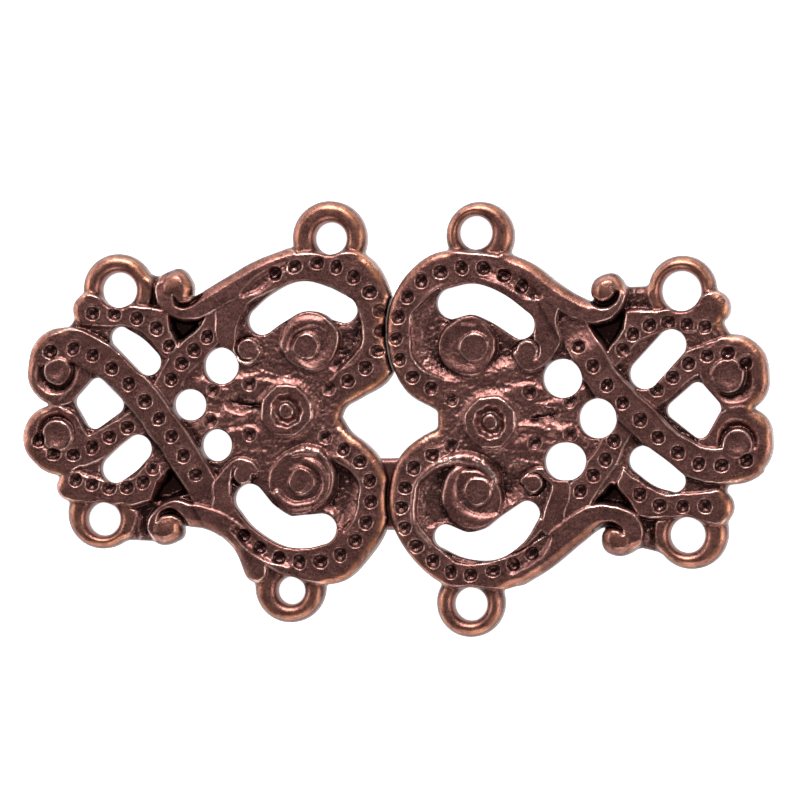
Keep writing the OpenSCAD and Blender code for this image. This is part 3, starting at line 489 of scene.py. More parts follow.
def polygon_field(x, y, corners):
    """Inside distance of a polygon: the distance to its nearest side, positive where a ray crosses an odd
    number of sides."""
    p = np.array(corners, float)
    q = np.roll(p, -1, 0)
    least, odd = np.full(x.shape, np.inf), np.zeros(x.shape, bool)
    for (ax, ay), (bx, by) in zip(p, q):
        t = np.clip(((x - ax) * (bx - ax) + (y - ay) * (by - ay)) / ((bx - ax) ** 2 + (by - ay) ** 2), 0, 1)
        least = np.minimum(least, np.hypot(x - ax - t * (bx - ax), y - ay - t * (by - ay)))
        if ay != by:
            odd ^= ((ay > y) != (by > y)) & (x < ax + (y - ay) * (bx - ax) / (by - ay))
    return np.where(odd, least, -least)


def soft_max(a, b, k):
    """The larger of two fields, rounded over a band k wide where they meet."""
    h = np.maximum(k - np.abs(a - b), 0) / k
    return np.maximum(a, b) + h * h * k / 4


def step(v):
    """Smooth step from 0 to 1: 3 v squared less 2 v cubed."""
    v = np.clip(v, 0, 1)
    return v * v * (3 - 2 * v)


# rounding of the outline's inner corners, metal round a curl's boss, rounding of the diamond's corners, and
# how far a window may cut into a scroll's disc
FILLET = 0.4
CURL_SKIRT = 0.35
DIAMOND_ROUND = 0.9
DISC_NIBBLE = 0.05


def outline_field(half, x, y):
    """Inside distance of a half's outline without its windows: the rounded union of its straps, loops and
    core."""
    field = polygon_field(x, y, half["core"])
    rows = half["frames"] + half["low"] + [half["crossing"]] + half["lobes"] + half["arms"] + half["webs"]
    for row in rows:
        field = soft_max(field, strap_field(x, y, row)[0], FILLET)
    for lx, ly, r, *_ in half["loops"]:
        field = soft_max(field, r - np.hypot(x - lx, y - ly), FILLET)
    for cx, cy, r in half["curls"]:
        field = soft_max(field, r + CURL_SKIRT - np.hypot(x - cx, y - cy), FILLET)
    return field


def window_field(half, x, y):
    """Distance outside the nearest window, negative within it. The diamond is drawn in about its middle and
    let out again by the same distance, which rounds its corners. A scroll's disc keeps the windows off but
    for a nibble."""
    corners = np.array(half["diamond"], float)
    middle = corners.mean(0)
    room = polygon_field(middle[:1], middle[1:], corners)[0]
    drawn_in = middle + (corners - middle) * (1 - DIAMOND_ROUND / room)
    field = polygon_field(x, y, drawn_in) + DIAMOND_ROUND
    for row in half["windows"]:
        field = np.maximum(field, strap_field(x, y, row)[0])
    for sx, sy, r, *_ in half["scrolls"]:
        field = np.minimum(field, np.hypot(x - sx, y - sy) - r + DISC_NIBBLE)
    return -field


def hole_field(half, x, y):
    """Distance outside the nearest hole of a sewing loop, negative within it."""
    return np.min([np.hypot(x - hx, y - hy) - hr for *_, hx, hy, hr in half["loops"]], 0)


# how many cells the distance is carried in, and the depth past which it isn't told apart
BORDER_STEPS = 14
BORDER_DEEPEST = 2.0


def from_border(field):
    """Distance in from the border of a rounded union: exact beside the border, then carried inwards from cell
    to cell by 1 or the root of 2 grid steps, fourteen times, and smoothed."""
    out = field <= 0
    beside = np.zeros(field.shape, bool)
    beside[1:-1, 1:-1] = out[:-2, 1:-1] | out[2:, 1:-1] | out[1:-1, :-2] | out[1:-1, 2:]
    far = np.where(out | beside, field, FAR)
    for _ in range(BORDER_STEPS):
        inner = far[1:-1, 1:-1]
        for dy, dx in ((0, 1), (1, 0), (1, 2), (2, 1)):
            inner = np.minimum(inner, far[dy : dy + inner.shape[0], dx : dx + inner.shape[1]] + GRID)
        for dy, dx in ((0, 0), (0, 2), (2, 0), (2, 2)):
            inner = np.minimum(inner, far[dy : dy + inner.shape[0], dx : dx + inner.shape[1]] + GRID * 1.414)
        far[1:-1, 1:-1] = np.where(out[1:-1, 1:-1], far[1:-1, 1:-1], inner)
    far = np.minimum(far, BORDER_DEEPEST)
    soft = blurred(far, np.ones(far.shape), 1.2)
    return far + (soft - far) * step((far - 0.1) / 0.3)


def sample(grid_field, u, v):
    """Value of a grid field at fractional columns u and rows v: bilinear."""
    i = np.clip(np.floor(v).astype(int), 0, grid_field.shape[0] - 2)
    j = np.clip(np.floor(u).astype(int), 0, grid_field.shape[1] - 2)
    fv, fu = v - i, u - j
    return (
        grid_field[i, j] * (1 - fv) * (1 - fu) + grid_field[i + 1, j] * fv * (1 - fu)
        + grid_field[i, j + 1] * (1 - fv) * fu + grid_field[i + 1, j + 1] * fv * fu
    )


def blurred(field, weight, reach):
    """Mean of a field over a bell of the given reach in grid steps, counting only points inside the metal."""
    n = int(3 * reach)
    weights = np.exp(-0.5 * (np.arange(-n, n + 1) / reach) ** 2)
    both = np.stack([field * weight, weight * 1.0])
    for axis in (1, 2):
        both = np.apply_along_axis(lambda row: np.convolve(row, weights, "same"), axis, both)
    return both[0] / np.maximum(both[1], 1e-9)


def to_own(place, x, y):
    """Fastened clasp to a half's own frame: shift, then turn back."""
    ox, oy, a = place
    return (x - ox) * np.cos(a) + (y - oy) * np.sin(a), -(x - ox) * np.sin(a) + (y - oy) * np.cos(a)


def from_own(place, x, y):
    """A half's own frame to the fastened clasp: turn, then shift."""
    ox, oy, a = place
    return ox + x * np.cos(a) - y * np.sin(a), oy + x * np.sin(a) + y * np.cos(a)


def shoulder(inside, top, round_w, round_h, slope=3.0):
    """Section of a raised strap: flat top, quarter ellipse at its edge, then a wall that falls steeply."""
    u = 1 - np.clip(inside / round_w, 0, 1)
    return top - round_h * (1 - np.sqrt(1 - u * u)) + np.minimum(inside, 0) * slope


def bell(v):
    """Bell curve: the power of e to minus v squared."""
    return np.exp(-(v**2))


# rounded edge of a plain strap: width, height, and steepness of the wall below it
STRAP_EDGE = (0.14, 0.12, 4.0)


def laid_on(z, x, y, rows, top, edge=STRAP_EDGE):
    """A face with flat-topped straps laid on it, each with a shoulder: the higher of the two at every
    point."""
    for row in rows:
        z = np.maximum(z, shoulder(strap_field(x, y, row)[0], top, *edge))
    return z


# heights over the table: the ground, its bowls and leaves, then the straps from the lowest to the highest
GROUND = 2.4
OCTAGON_HUMP = 0.28
BOWL_FLOOR = 1.95
LEAF_TOP = 2.58
LOW_TOP = 2.7
FLAT_TOP = 2.8
CROSSING_TOP = 3.0


def ground(half, x, y):
    """Ground between the straps: a low hump about the octagon, bowls, webs and pockets that sink to their
    floors by smooth steps, leaves that rise from it, a bell-shaped crest and a bell-shaped dint. The webs
    beside the balls have a rib across their middle."""
    z = GROUND + OCTAGON_HUMP * step((3.2 - np.hypot(x, y)) / 0.9)
    for corners in half["bowls"]:
        z = z + (BOWL_FLOOR - z) * step(polygon_field(x, y, corners) / 1.6 + 0.05)
    for n, row in enumerate(half["webs"]):
        d, side, run, w = strap_field(x, y, row)
        z = z + (BOWL_FLOOR - z) * step(d / 0.6 + 1.5)
        if n < 2:
            middle_rib = bell((run / run.max() - 0.45) / 0.1)
            z = z + 0.25 * middle_rib * (d > -0.3)
    for floor_z, corners in half["pockets"]:
        soft, edge = (0.8, 0.4) if floor_z < 1.5 else (1.1, 0.2)
        z = z + (floor_z - z) * step(polygon_field(x, y, corners) / soft + edge)
    for row in half["leaves"]:
        d, side, run, w = strap_field(x, y, row)
        z = z + np.maximum(LEAF_TOP - z, 0) * step(d / w * 1.2)
    for row, rise in ((half["crest"], 0.28), (half["indent"], -0.5)):
        d, side, run, w = strap_field(x, y, row)
        z = z + rise * bell((w - d) / (w + 0.15))
    return z


def under_straps(half, x, y, z):
    """The straps that lie under the crossing one and the flats beside them. The frames sink into the ground
    where they come to the octagon, and the outer lobes carry a shallow dish."""
    for height, corners in half["fills"]:
        z = np.maximum(z, shoulder(polygon_field(x, y, corners), height, 0.2, 0.1))
    z = laid_on(z, x, y, half["low"], LOW_TOP)
    for row in half["frames"]:
        d, side, run, w = strap_field(x, y, row)
        top = GROUND + (FLAT_TOP - GROUND) * step(0.1 + (run.max() - run) / 2.6)
        z = np.maximum(z, shoulder(d, top, *STRAP_EDGE))
    z = laid_on(z, x, y, half["flats"], FLAT_TOP)
    z = laid_on(z, x, y, half["lobes"], LOW_TOP + 0.05, (0.2, 0.15, 3.0))
    for bx, by, r in half["dishes"]:
        z = z - 0.4 * step((r - np.hypot(x - bx, y - by)) / 0.7)
    return z


def scrolls(half, x, y, z):
    """The scrolls of the lobes: a low disc that is slightly hollow, an outer turn with a quarter ellipse each
    side, a band that sweeps over from the frame with a parabola for its section, and a boss. Also gives how
    ragged each point is, which is most along the sweeping bands."""
    disc_top, boss_top, turn_foot, sweep_foot = 2.68, 2.82, 1.9, 2.35
    rag = np.zeros(x.shape)
    for sx, sy, r, *_ in half["scrolls"]:
        away = np.hypot(x - sx, y - sy)
        z = np.maximum(z, shoulder(r - away, disc_top, 0.25, 0.16) - 0.13 * step((r - 0.25 - away) / 0.9))
    for row in half["tubes"]:
        d, side, run, w = strap_field(x, y, row)
        fade = step((run.max() - run) / 4.0) * step(0.3 + run / 1.5)
        turn_round = 0.5 - 0.5 * np.sqrt(np.clip(1 - (1 - np.clip(d / w, 0, 1)) ** 2, 0, 1))
        z = np.where(d > 0, np.maximum(z, turn_foot + 0.98 * fade - turn_round), z)
    for row in half["sweeps"]:
        d, side, run, w = strap_field(x, y, row)
        away = (w - d) / (w + 0.25)
        z = np.maximum(z, sweep_foot + 0.57 * (1 - away**2))
        rag = np.maximum(rag, step(1.3 - away) * step((w - 0.2) / 0.2))
    for *_, bx, by, br in half["scrolls"]:
        z = np.maximum(z, shoulder(br - np.hypot(x - bx, y - by), boss_top, 0.15, 0.12, 6.0))
    return z, rag


def crossing_strap(half, x, y, z):
    """The strap that crosses over the others, with a bell-shaped lip along one edge. It goes under the arm
    where it starts, and sinks into the outer lobe at its end."""
    sunk_start, sunk_end, lip_rise = 0.5, 0.25, 0.1
    d, side, run, w = strap_field(x, y, half["crossing"])
    top = CROSSING_TOP - sunk_start * (1 - step(run / 3.0)) - sunk_end * (1 - step((run.max() - run) / 3.0))
    z = np.maximum(z, shoulder(d, top, 0.15, 0.12, 4.0))
    lip = half["crossing_lip"] * side
    return z + lip_rise * bell((w - lip - 0.16) / 0.1) * (d > -0.1) * step((run.max() - run) / 2.0)


def stems_and_arms(half, x, y, z):
    """Stems and arms, smooth and flat, the arms lower towards both ends, with sunk channels beside them."""
    z = laid_on(z, x, y, half["stems"], FLAT_TOP + 0.04)
    for row in half["arms"]:
        d, side, run, w = strap_field(x, y, row)
        top = FLAT_TOP + 0.13 - 0.35 * (1 - step((run.max() - run) / 3.2)) - 0.15 * (1 - step(run / 2.5))
        z = np.maximum(z, shoulder(d, top, 0.16, 0.13, 4.0))
    for row in half["channels"]:
        d, side, run, w = strap_field(x, y, row)
        z = np.minimum(z, z + (2.5 - z) * step((d + 0.15) / 0.6))
    return z


# radius and foot of the balls, how far they rise, and the tops of the small curls and of the outer bosses
BALL_R = 1.7
BALL_FOOT = 2.3
BALL_RISE = 0.78
SMALL_CURL_TOP = FLAT_TOP + 0.03
OUTER_BOSS_TOP = 3.02


def curls_and_lines(half, x, y, z):
    """Balls on the ends of the arms, round bosses on the small curls and the outer lobes, the grooves that
    part the balls from their arms, and thin raised lines with a bell for their section."""
    for n, (cx, cy, r) in enumerate(half["curls"]):
        away, turn = np.hypot(x - cx, y - cy), np.arctan2(y - cy, x - cx)
        if n < 2:
            ball = BALL_FOOT + BALL_RISE * np.sqrt(np.clip(1 - (away / BALL_R) ** 2, 0, 1))
            z = np.where(away < BALL_R, np.maximum(z, ball), z)
        elif n < 4:
            z = z - 0.5 * bell((away - r - 0.02) / 0.18) * step(0.6 - 0.9 * np.cos(turn + n))
            z = np.maximum(z, shoulder(r - away, SMALL_CURL_TOP, 0.2, 0.15, 6.0))
        else:
            dished = 0.12 * step((r - 0.3 - away) / 0.8)
            z = np.maximum(z, shoulder(r - away, OUTER_BOSS_TOP, 0.18, 0.15) - dished)
    for row in half["grooves"]:
        d, side, run, w = strap_field(x, y, row)
        z = z - 1.0 * step(d / w * 0.8 + 0.35) * (w / 0.3)
    for row in half["ridges"]:
        d, side, run, w = strap_field(x, y, row)
        away = (w - d) / (w + 0.05)
        z = z + (0.05 + 0.15 * w) * np.exp(-2.2 * away**2)
    return z


def octagon(x, y, z):
    """The octagon: a rimmed plate whose radius times the cosine of the turn within its eighth is nearly
    constant, a recess whose edge is scalloped by the sine of 4.5 turns, and a knob."""
    plate_r, plate_top, recess_r, recess_deep, knob_r, knob_top = 2.34, 2.98, 1.5, 0.5, 0.74, 2.95
    away, turn = np.hypot(x, y), np.arctan2(y, x)
    eighth = np.mod(turn + np.pi / 8, np.pi / 4) - np.pi / 8
    plate = plate_r + 0.03 * np.sin(3 * turn + 1) - away * np.cos(eighth * 0.8)
    z = np.maximum(z, shoulder(plate, plate_top, 0.2, 0.13, 5.0))
    scallop = recess_r + 0.12 * np.abs(np.sin(4.5 * turn)) - away
    z = z - recess_deep * step(scallop / 0.5 + 0.05)
    return np.maximum(z, shoulder(knob_r - away, knob_top, 0.3, 0.2))


def cast_skin(x, y, z, rag):
    """Hand of the founder: slow waves on every face, and cast roughness where the metal lies lower, round the
    octagon and along the ragged bands."""
    wave_rise, fine_grit, coarse_grit = 0.02, 0.014, 0.05
    chance = np.random.default_rng(5)
    everywhere = np.ones(x.shape)
    wave = blurred(chance.normal(size=x.shape), everywhere, 8.0)
    z = z + wave_rise * wave / wave.std()
    grit = blurred(chance.normal(size=x.shape), everywhere, 0.7)
    away = np.hypot(x, y)
    skirt = step((3.5 - away) / 0.4) * step((away - 2.3) / 0.3)
    rough = (coarse_grit + coarse_grit * skirt) * step((2.76 - z) / 0.6) * step((z - 1.2) / 0.5)
    return z + grit * (fine_grit + np.maximum(rough, coarse_grit * rag))


# radius of a punched dot, its depth in low metal, and how much deeper it is in high metal
DOT_R = 0.62
DOT_SHALLOW = 0.32
DOT_DEEPER = 0.18


def dot_distance(half, x, y):
    """Distance to the middle of the nearest punched dot; the dots of a row are evenly spaced along its
    curve."""
    least = np.full(x.shape, FAR)
    for count, row in half["dots"]:
        path = smooth_row(row, 12)
        run = np.r_[0, np.cumsum(np.hypot(*np.diff(path, axis=0).T))]
        stops = np.linspace(0, run[-1], count) if count > 1 else np.zeros(1)
        for dx, dy in zip(np.interp(stops, run, path[:, 0]), np.interp(stops, run, path[:, 1])):
            near = (np.abs(x - dx) < 1.2) & (np.abs(y - dy) < 1.2)
            least[near] = np.minimum(least[near], np.hypot(x[near] - dx, y[near] - dy))
    return least


def relief(half, x, y):
    """Height of the ornamented face before its edges are rounded: ground, straps, scrolls, crossing strap,
    stems and arms, curls, raised lines and octagon laid on in turn, then the cast skin and the punched dots.
    A dot is half an ellipsoid, deeper in high straps, with a thin bell-shaped burr round it."""
    z = under_straps(half, x, y, ground(half, x, y))
    z, rag = scrolls(half, x, y, z)
    z = crossing_strap(half, x, y, z)
    z = stems_and_arms(half, x, y, z)
    z = octagon(x, y, curls_and_lines(half, x, y, z))
    z = cast_skin(x, y, z, rag)
    away = dot_distance(half, x, y)
    depth = DOT_SHALLOW + DOT_DEEPER * step((z - GROUND) / 0.3)
    return z + 0.03 * bell((away - 0.71) / 0.09) - depth * np.sqrt(np.clip(1 - (away / DOT_R) ** 2, 0, 1))


def swayed(x, y):
    """Places shifted by a slow chance field of about 0.055 mm and a quick one of about 0.022 mm, which makes
    every line of the relief waver as a hand-cut pattern does."""
    chance = np.random.default_rng(11)
    moved = []
    for coordinate in (x, y):
        for reach, by in ((9.0, 0.055), (2.5, 0.022)):
            field = blurred(chance.normal(size=x.shape), np.ones(x.shape), reach)
            coordinate = coordinate + by * field / field.std()
        moved.append(coordinate)
    return moved


# height of the sewing loops
LOOP_TOP = 2.35


def loop_share(half, x, y):
    """How far each point belongs to a sewing loop, from 0 to 1: a smooth step within a loop's disc, less the
    plate of core, straps and flats that the loop grows out of."""
    share = np.zeros(x.shape)
    for lx, ly, r, *_ in half["loops"]:
        share = np.maximum(share, step((r + 0.3 - np.hypot(x - lx, y - ly)) / 0.5))
    plate = np.maximum(
        polygon_field(x, y, half["core"]), straps_field(x, y, half["frames"] + half["low"] + half["arms"])
    )
    for _, corners in half["fills"]:
        plate = np.maximum(plate, polygon_field(x, y, corners))
    return share * step(0.5 - plate / 0.5)


def drop(inside, run, fall, straight=0.0):
    """Fall of a rounded edge over a run: a quarter ellipse, mixed with a straight bevel by the last share."""
    w = 1 - np.clip(inside / run, 0, 1)
    return fall * (straight * w + (1 - straight) * (1 - np.sqrt(np.maximum(1 - w * w, 0))))


def rim_drop(rim, loop, creased):
    """Fall of the outer rim: deeper on the loops, and a narrower, straighter bevel along the arms."""
    return drop(rim, 0.85 + 0.05 * loop - 0.15 * creased, 0.75 + 0.35 * loop, creased)


def window_drop(window):
    """Fall of the edge of a window."""
    return drop(window, 0.16, 0.18)


def patina_and_painted_light(half, x, y, qx, qy, top, shape, metal, rim, loop, creased):
    """Darkness, paleness and orange of each point, each from 0 to 1, partly the casting's own and partly
    painted
    light. Dark is patina with painted shade: what lies below the mean of its neighbourhood, the pockets, webs
    and dots, a painted shadow along the foot of the crossing strap on the side away from its lip, and a
    painted shadow at the lower left foot of the octagon, scrolls and small curls; it is eased inside the
    octagon's recess, most on the facets that face the light. Pale is wear with painted highlight: what stands
    over the mean of a narrower one, painted highlight arcs on the recess wall and the knob on opposite sides,
    and the wide parts of the sweeping bands. Orange is rub with painted sheen: the band along the outer rim,
    most on its right side, the loops and the balls."""
    turned = half["place"][2]
    near, wide = blurred(shape, metal, 1.0), blurred(shape, metal, 7.0)
    low = step((2.5 - top) / 1.3) * (1 - loop)
    away = np.hypot(qx, qy)
    facing = np.cos(np.arctan2(qy, qx) + turned + 2.2)
    recess = step((1.9 - away) / 0.3)
    # painted shade is eased inside the octagon's recess, most on the facets that face the light
    fade = 1 - recess * (0.3 + 0.65 * step(0.4 + facing))
    # dark is patina where the metal lies below its neighbourhood or low, and stands for the shade there as
    # well
    dark = np.clip(np.maximum((wide - shape) / 0.3, low), 0, 1) * fade
    dots = dot_distance(half, qx, qy)
    web = step(straps_field(x, y, half["webs"][:2]) / 0.5 + 0.8) * (1 - loop) * step((2.6 - top) / 0.3)
    dark = np.maximum(dark, 0.6 * web)
    # painted shadow along the foot of the crossing strap, on the side away from its lip
    d, side, run, w = strap_field(qx, qy, half["crossing"])
    foot = -half["crossing_lip"] * side - w
    band = bell((foot - 0.1) / 0.4) * (foot > 0) * (d < 0)
    dark = np.maximum(dark, 0.85 * band * step((run.max() - run) / 3.0))
    # painted shadow at the lower left foot of the octagon, the scrolls and the small curls
    for cx, cy, r in [(0, 0, 2.45)] + [s[:3] for s in half["scrolls"]] + half["curls"][2:]:
        gap = np.hypot(qx - cx, qy - cy) - r
        lower_left = np.cos(np.arctan2(qy - cy, qx - cx) + turned + 2.5)
        band = bell((gap - 0.05) / 0.4) * (gap > -0.05)
        dark = np.maximum(dark, 0.75 * band * step(lower_left * 1.2) * step((2.75 - top) / 0.2))
    dark = np.maximum(dark, 0.93 * step((0.68 - dots) / 0.3))

    # pale is wear on what stands up, and stands for the highlights on those edges as well
    wear_and_highlight = np.clip((shape - near - 0.012) / 0.03, 0, 1) * (1 - 0.6 * step((0.85 - dots) / 0.1))
    # painted highlight arcs: on the recess wall on the side that faces the light, and on the knob's other
    # side
    wear_and_highlight = np.maximum(wear_and_highlight, 0.9 * bell((away - 1.3) / 0.2) * step(facing * 1.4))
    wear_and_highlight = np.maximum(wear_and_highlight, 0.8 * bell((away - 0.82) / 0.12) * step(0.2 - facing * 1.2))
    for row in half["sweeps"]:
        d, side, run, w = strap_field(qx, qy, row)
        wear_and_highlight = np.maximum(wear_and_highlight, 0.8 * step(d / w * 1.3 - 0.1) * step((w - 0.2) / 0.2))

    balls = np.min([np.hypot(x - cx, y - cy) for cx, cy, r in half["curls"][:2]], 0)
    down, along = np.gradient(rim, GRID)
    east = down * np.sin(turned) - along * np.cos(turned)
    # orange band along the outer rim: rub, with painted sheen that is stronger on its right side; also on the
    # loops and balls
    rub_and_sheen = step((0.95 - rim) / 0.5) * (1 - creased) * (1 - web) * (0.5 + 0.75 * step(0.4 + 0.7 * east))
    rub_and_sheen = np.clip(rub_and_sheen + 0.3 * loop + 0.35 * step(1.6 - balls), 0, 1)
    return dark, wear_and_highlight, rub_and_sheen


# the hidden side, in the frame of the fastened clasp: plan of the eye and its neck, the pocket over it, the
# play round the eye and the gap between the two rims
EYE_AT = (1.4, -6.8)
EYE_R = 3.2
NECK_HALF = 3.25
NECK_X = (-3, 0.8)
POCKET_TOP = 1.8
POCKET_WALL = 0.16
PLAY = 0.2
RIM_GAP = 0.15


def eye_field(x, y):
    """Inside distance of the eye's plan: a disc and the straight neck that carries it."""
    disc = EYE_R - np.hypot(x - EYE_AT[0], y - EYE_AT[1])
    neck = np.minimum(np.minimum(x - NECK_X[0], NECK_X[1] - x), NECK_HALF - np.abs(y - EYE_AT[1]))
    return soft_max(disc, neck, 0.6)


def back_height(half, x, y):
    """Height of the back: flat at the bottom, and up to the pocket's roof over the eye in the hook half."""
    if half["name"] == "eye_half":
        return np.zeros(x.shape)
    return POCKET_TOP * step((eye_field(*from_own(half["place"], x, y)) + PLAY) / POCKET_WALL)


def plan_mesh(plan):
    """Quads over the grid cells inside a plan, as columns u and rows v, the directed edges round their
    border, the border's vertices and their inward slope. Cells that touch only at a corner are joined, and
    each border vertex moves on to the plan's contour, three times down the slope of its field by the value
    there."""
    cell = (plan[:-1, :-1] + plan[1:, :-1] + plan[:-1, 1:] + plan[1:, 1:]) > 0
    for _ in range(4):
        a, b, c, d = cell[:-1, :-1], cell[1:, 1:], cell[1:, :-1], cell[:-1, 1:]
        i, j = np.nonzero((a & b & ~c & ~d) | (~a & ~b & c & d))
        cell[i, j] = cell[i + 1, j] = cell[i, j + 1] = cell[i + 1, j + 1] = True
    r, c = np.nonzero(cell)
    nx = plan.shape[1]
    quads = np.c_[r * nx + c, r * nx + c + 1, (r + 1) * nx + c + 1, (r + 1) * nx + c]
    used, quads = np.unique(quads, return_inverse=True)
    quads = quads.reshape(-1, 4)
    u, v = (used % nx).astype(float), (used // nx).astype(float)
    edges = np.concatenate([quads[:, [0, 1]], quads[:, [1, 2]], quads[:, [2, 3]], quads[:, [3, 0]]])
    key = np.sort(edges, 1)
    _, first, count = np.unique(key[:, 0] * len(used) + key[:, 1], return_index=True, return_counts=True)
    border_edges = edges[first[count == 1]]
    border = np.unique(border_edges)
    gy, gx = np.gradient(plan)
    for _ in range(3):
        value = sample(plan, u[border], v[border])
        sx, sy = sample(gx, u[border], v[border]), sample(gy, u[border], v[border])
        scale = np.clip(value / np.maximum(sx * sx + sy * sy, 1e-6), -FAR, FAR)
        u[border] -= np.clip(scale * sx, -0.7, 0.7)
        v[border] -= np.clip(scale * sy, -0.7, 0.7)
    inward = np.c_[sample(gx, u[border], v[border]), sample(gy, u[border], v[border])]
    return u, v, quads, border_edges, border, inward


def inside_border(tri, border, count):
    """Which triangles lie to the left of the directed border: a triangle beside a border edge is told by the
    edge's direction, and tells its neighbours across every other edge, one layer at a time."""
    edges = np.stack([tri, np.roll(tri, -1, 1)], -1)
    key = edges[..., 0] * count + edges[..., 1]
    back_key = edges[..., 1] * count + edges[..., 0]
    forward = border[:, 0] * count + border[:, 1]
    backward = border[:, 1] * count + border[:, 0]
    state = np.where(np.isin(key, forward).any(1), 1, 0) - np.where(np.isin(key, backward).any(1), 1, 0)
    order = np.argsort(key.ravel())
    spot = np.minimum(np.searchsorted(key.ravel()[order], back_key.ravel()), key.size - 1)
    found = key.ravel()[order][spot] == back_key.ravel()
    free = found & ~np.isin(key.ravel(), forward) & ~np.isin(key.ravel(), backward)
    neighbour = np.where(free, order[spot] // 3, -1).reshape(-1, 3)
    while (state == 0).any():
        told = np.where(neighbour >= 0, state[neighbour], 0)
        new = np.where(state == 0, np.sign(told.sum(1)), state)
        if (new == state).all():
            break
        state = new
    return state > 0


# columns and rows of the grid, and the spacing of the points of the back and of the pocket's wall
GRID_X = np.arange(-11, 27, GRID)
GRID_Y = np.arange(-21, 21, GRID)
BACK_GRID = 0.9
POCKET_GRID = 0.16


def back_sheet(half, plan, ring, lines):
    """Triangles between the last ring of the walls and a sparse grid of points inside it, finer along the
    pocket's wall. Gives the points, the triangles, and for each point its place in the ring, or -1."""

    def spread(right, low, high, gap):
        px, py = (a.ravel() for a in np.meshgrid(np.arange(GRID_X[0], right, gap), np.arange(low, high, gap)))
        return np.c_[px, py], sample(plan, (px - GRID_X[0]) / GRID, (py - GRID_Y[0]) / GRID)

    places, room = spread(27, -21, 21, BACK_GRID)
    points = [ring, places[room > 0.6]]
    if half["name"] == "hook_half":
        places, room = spread(12, -14, 2, POCKET_GRID)
        wall = eye_field(*from_own(half["place"], places[:, 0], places[:, 1])) + PLAY
        points.append(places[(room > 0.4) & (wall > -0.25) & (wall < 0.4)])
    corners = [tuple(p) for p in np.concatenate(points)]
    edges = [tuple(int(i) for i in line) for line in lines]
    sheet, _, tri, source, _, _ = delaunay_2d_cdt(corners, edges, [], 2, 1e-6)
    in_ring = np.array([s[0] if s and s[0] < len(ring) else -1 for s in source])
    return np.array([tuple(p) for p in sheet]), np.array([tuple(f) for f in tri]), in_ring


# rings of the walls: share of the way down, and how far drawn in, which rounds the lower edge
WALL_RINGS = [(0.4, 0.0), (0.78, 0.0), (0.95, 0.06), (1.0, 0.22)]
# least metal left over the back
THINNEST = 0.3


def casting(half):
    """Vertices, blocks of faces and three shade values a vertex of one casting. The face is the height field
    over the grid cells inside the plan, walls run down from its border, and the back is a sheet of
    triangles."""
    x, y = np.meshgrid(GRID_X, GRID_Y)
    rim = outline_field(half, x, y)
    window = window_field(half, x, y)
    hole = hole_field(half, x, y)
    if half["name"] == "eye_half":
        other = outline_field(HOOK, *to_own(HOOK["place"], *from_own(half["place"], x, y)))
        rim = np.minimum(rim, -other - RIM_GAP)
    plan = np.minimum(np.minimum(rim, window), hole)
    rim = from_border(rim)
    loop = loop_share(half, x, y)
    qx, qy = swayed(x, y)
    top = relief(half, qx, qy)
    top = top + (LOOP_TOP - top) * loop
    creased = 0.5 * step(1.0 + straps_field(x, y, half["arms"]) / 1.2) * (1 - loop)
    shape = top - rim_drop(rim, loop, creased) - window_drop(window)

    u, v, quads, border_edges, border, inward = plan_mesh(plan)
    inward /= np.maximum(np.linalg.norm(inward, axis=1), 1e-6)[:, None]
    px, py = GRID_X[0] + u * GRID, GRID_Y[0] + v * GRID
    at_loop = sample(loop, u, v)
    z = sample(top, u, v) - rim_drop(sample(rim, u, v), at_loop, sample(creased, u, v))
    z = z - window_drop(sample(window, u, v))
    z = z - drop(sample(hole, u, v), 0.35 + 0.4 * at_loop, 0.5 + 0.5 * at_loop)
    z = np.maximum(z, back_height(half, px, py) + THINNEST)
    shades = patina_and_painted_light(half, x, y, qx, qy, top, shape, plan > 0, rim, loop, creased)
    dark, wear_and_highlight, rub_and_sheen = (sample(field, u, v) for field in shades)

    verts, shade = [np.c_[px, py, z]], [np.c_[dark, wear_and_highlight, rub_and_sheen]]
    edge_z, edge_back = z[border], back_height(half, px[border], py[border])
    for share, inset in WALL_RINGS:
        ring = np.c_[px[border], py[border]] + inward * inset
        verts.append(np.c_[ring, edge_z + (edge_back - edge_z) * share])
        darker = np.full(len(border), 0.35 + 0.4 * share)
        shade.append(np.c_[darker, wear_and_highlight[border] * (1 - share), rub_and_sheen[border] * (1 - share)])
    index = np.zeros(len(u), int)
    index[border] = np.arange(len(border))
    lines = index[border_edges]
    faces, above = [quads], border_edges
    for k in range(len(WALL_RINGS)):
        below = len(u) + k * len(border) + lines
        faces.append(np.c_[above[:, 0], below[:, 0], below[:, 1], above[:, 1]])
        above = below

    sheet, tri, in_ring = back_sheet(half, plan, ring, lines)
    first_ring = len(u) + (len(WALL_RINGS) - 1) * len(border)
    total = sum(len(p) for p in verts)
    fresh = np.nonzero(in_ring < 0)[0]
    to = first_ring + in_ring
    to[fresh] = total + np.arange(len(fresh))
    verts.append(np.c_[sheet[fresh], back_height(half, sheet[fresh, 0], sheet[fresh, 1])])
    shade.append(np.tile([0.35, 0.1, 0], (len(fresh), 1)))
    tri = to[tri]
    tri = tri[inside_border(tri, first_ring + lines, total + len(fresh))]
    faces.append(tri[:, ::-1])
    return np.concatenate(verts), faces, np.concatenate(shade)


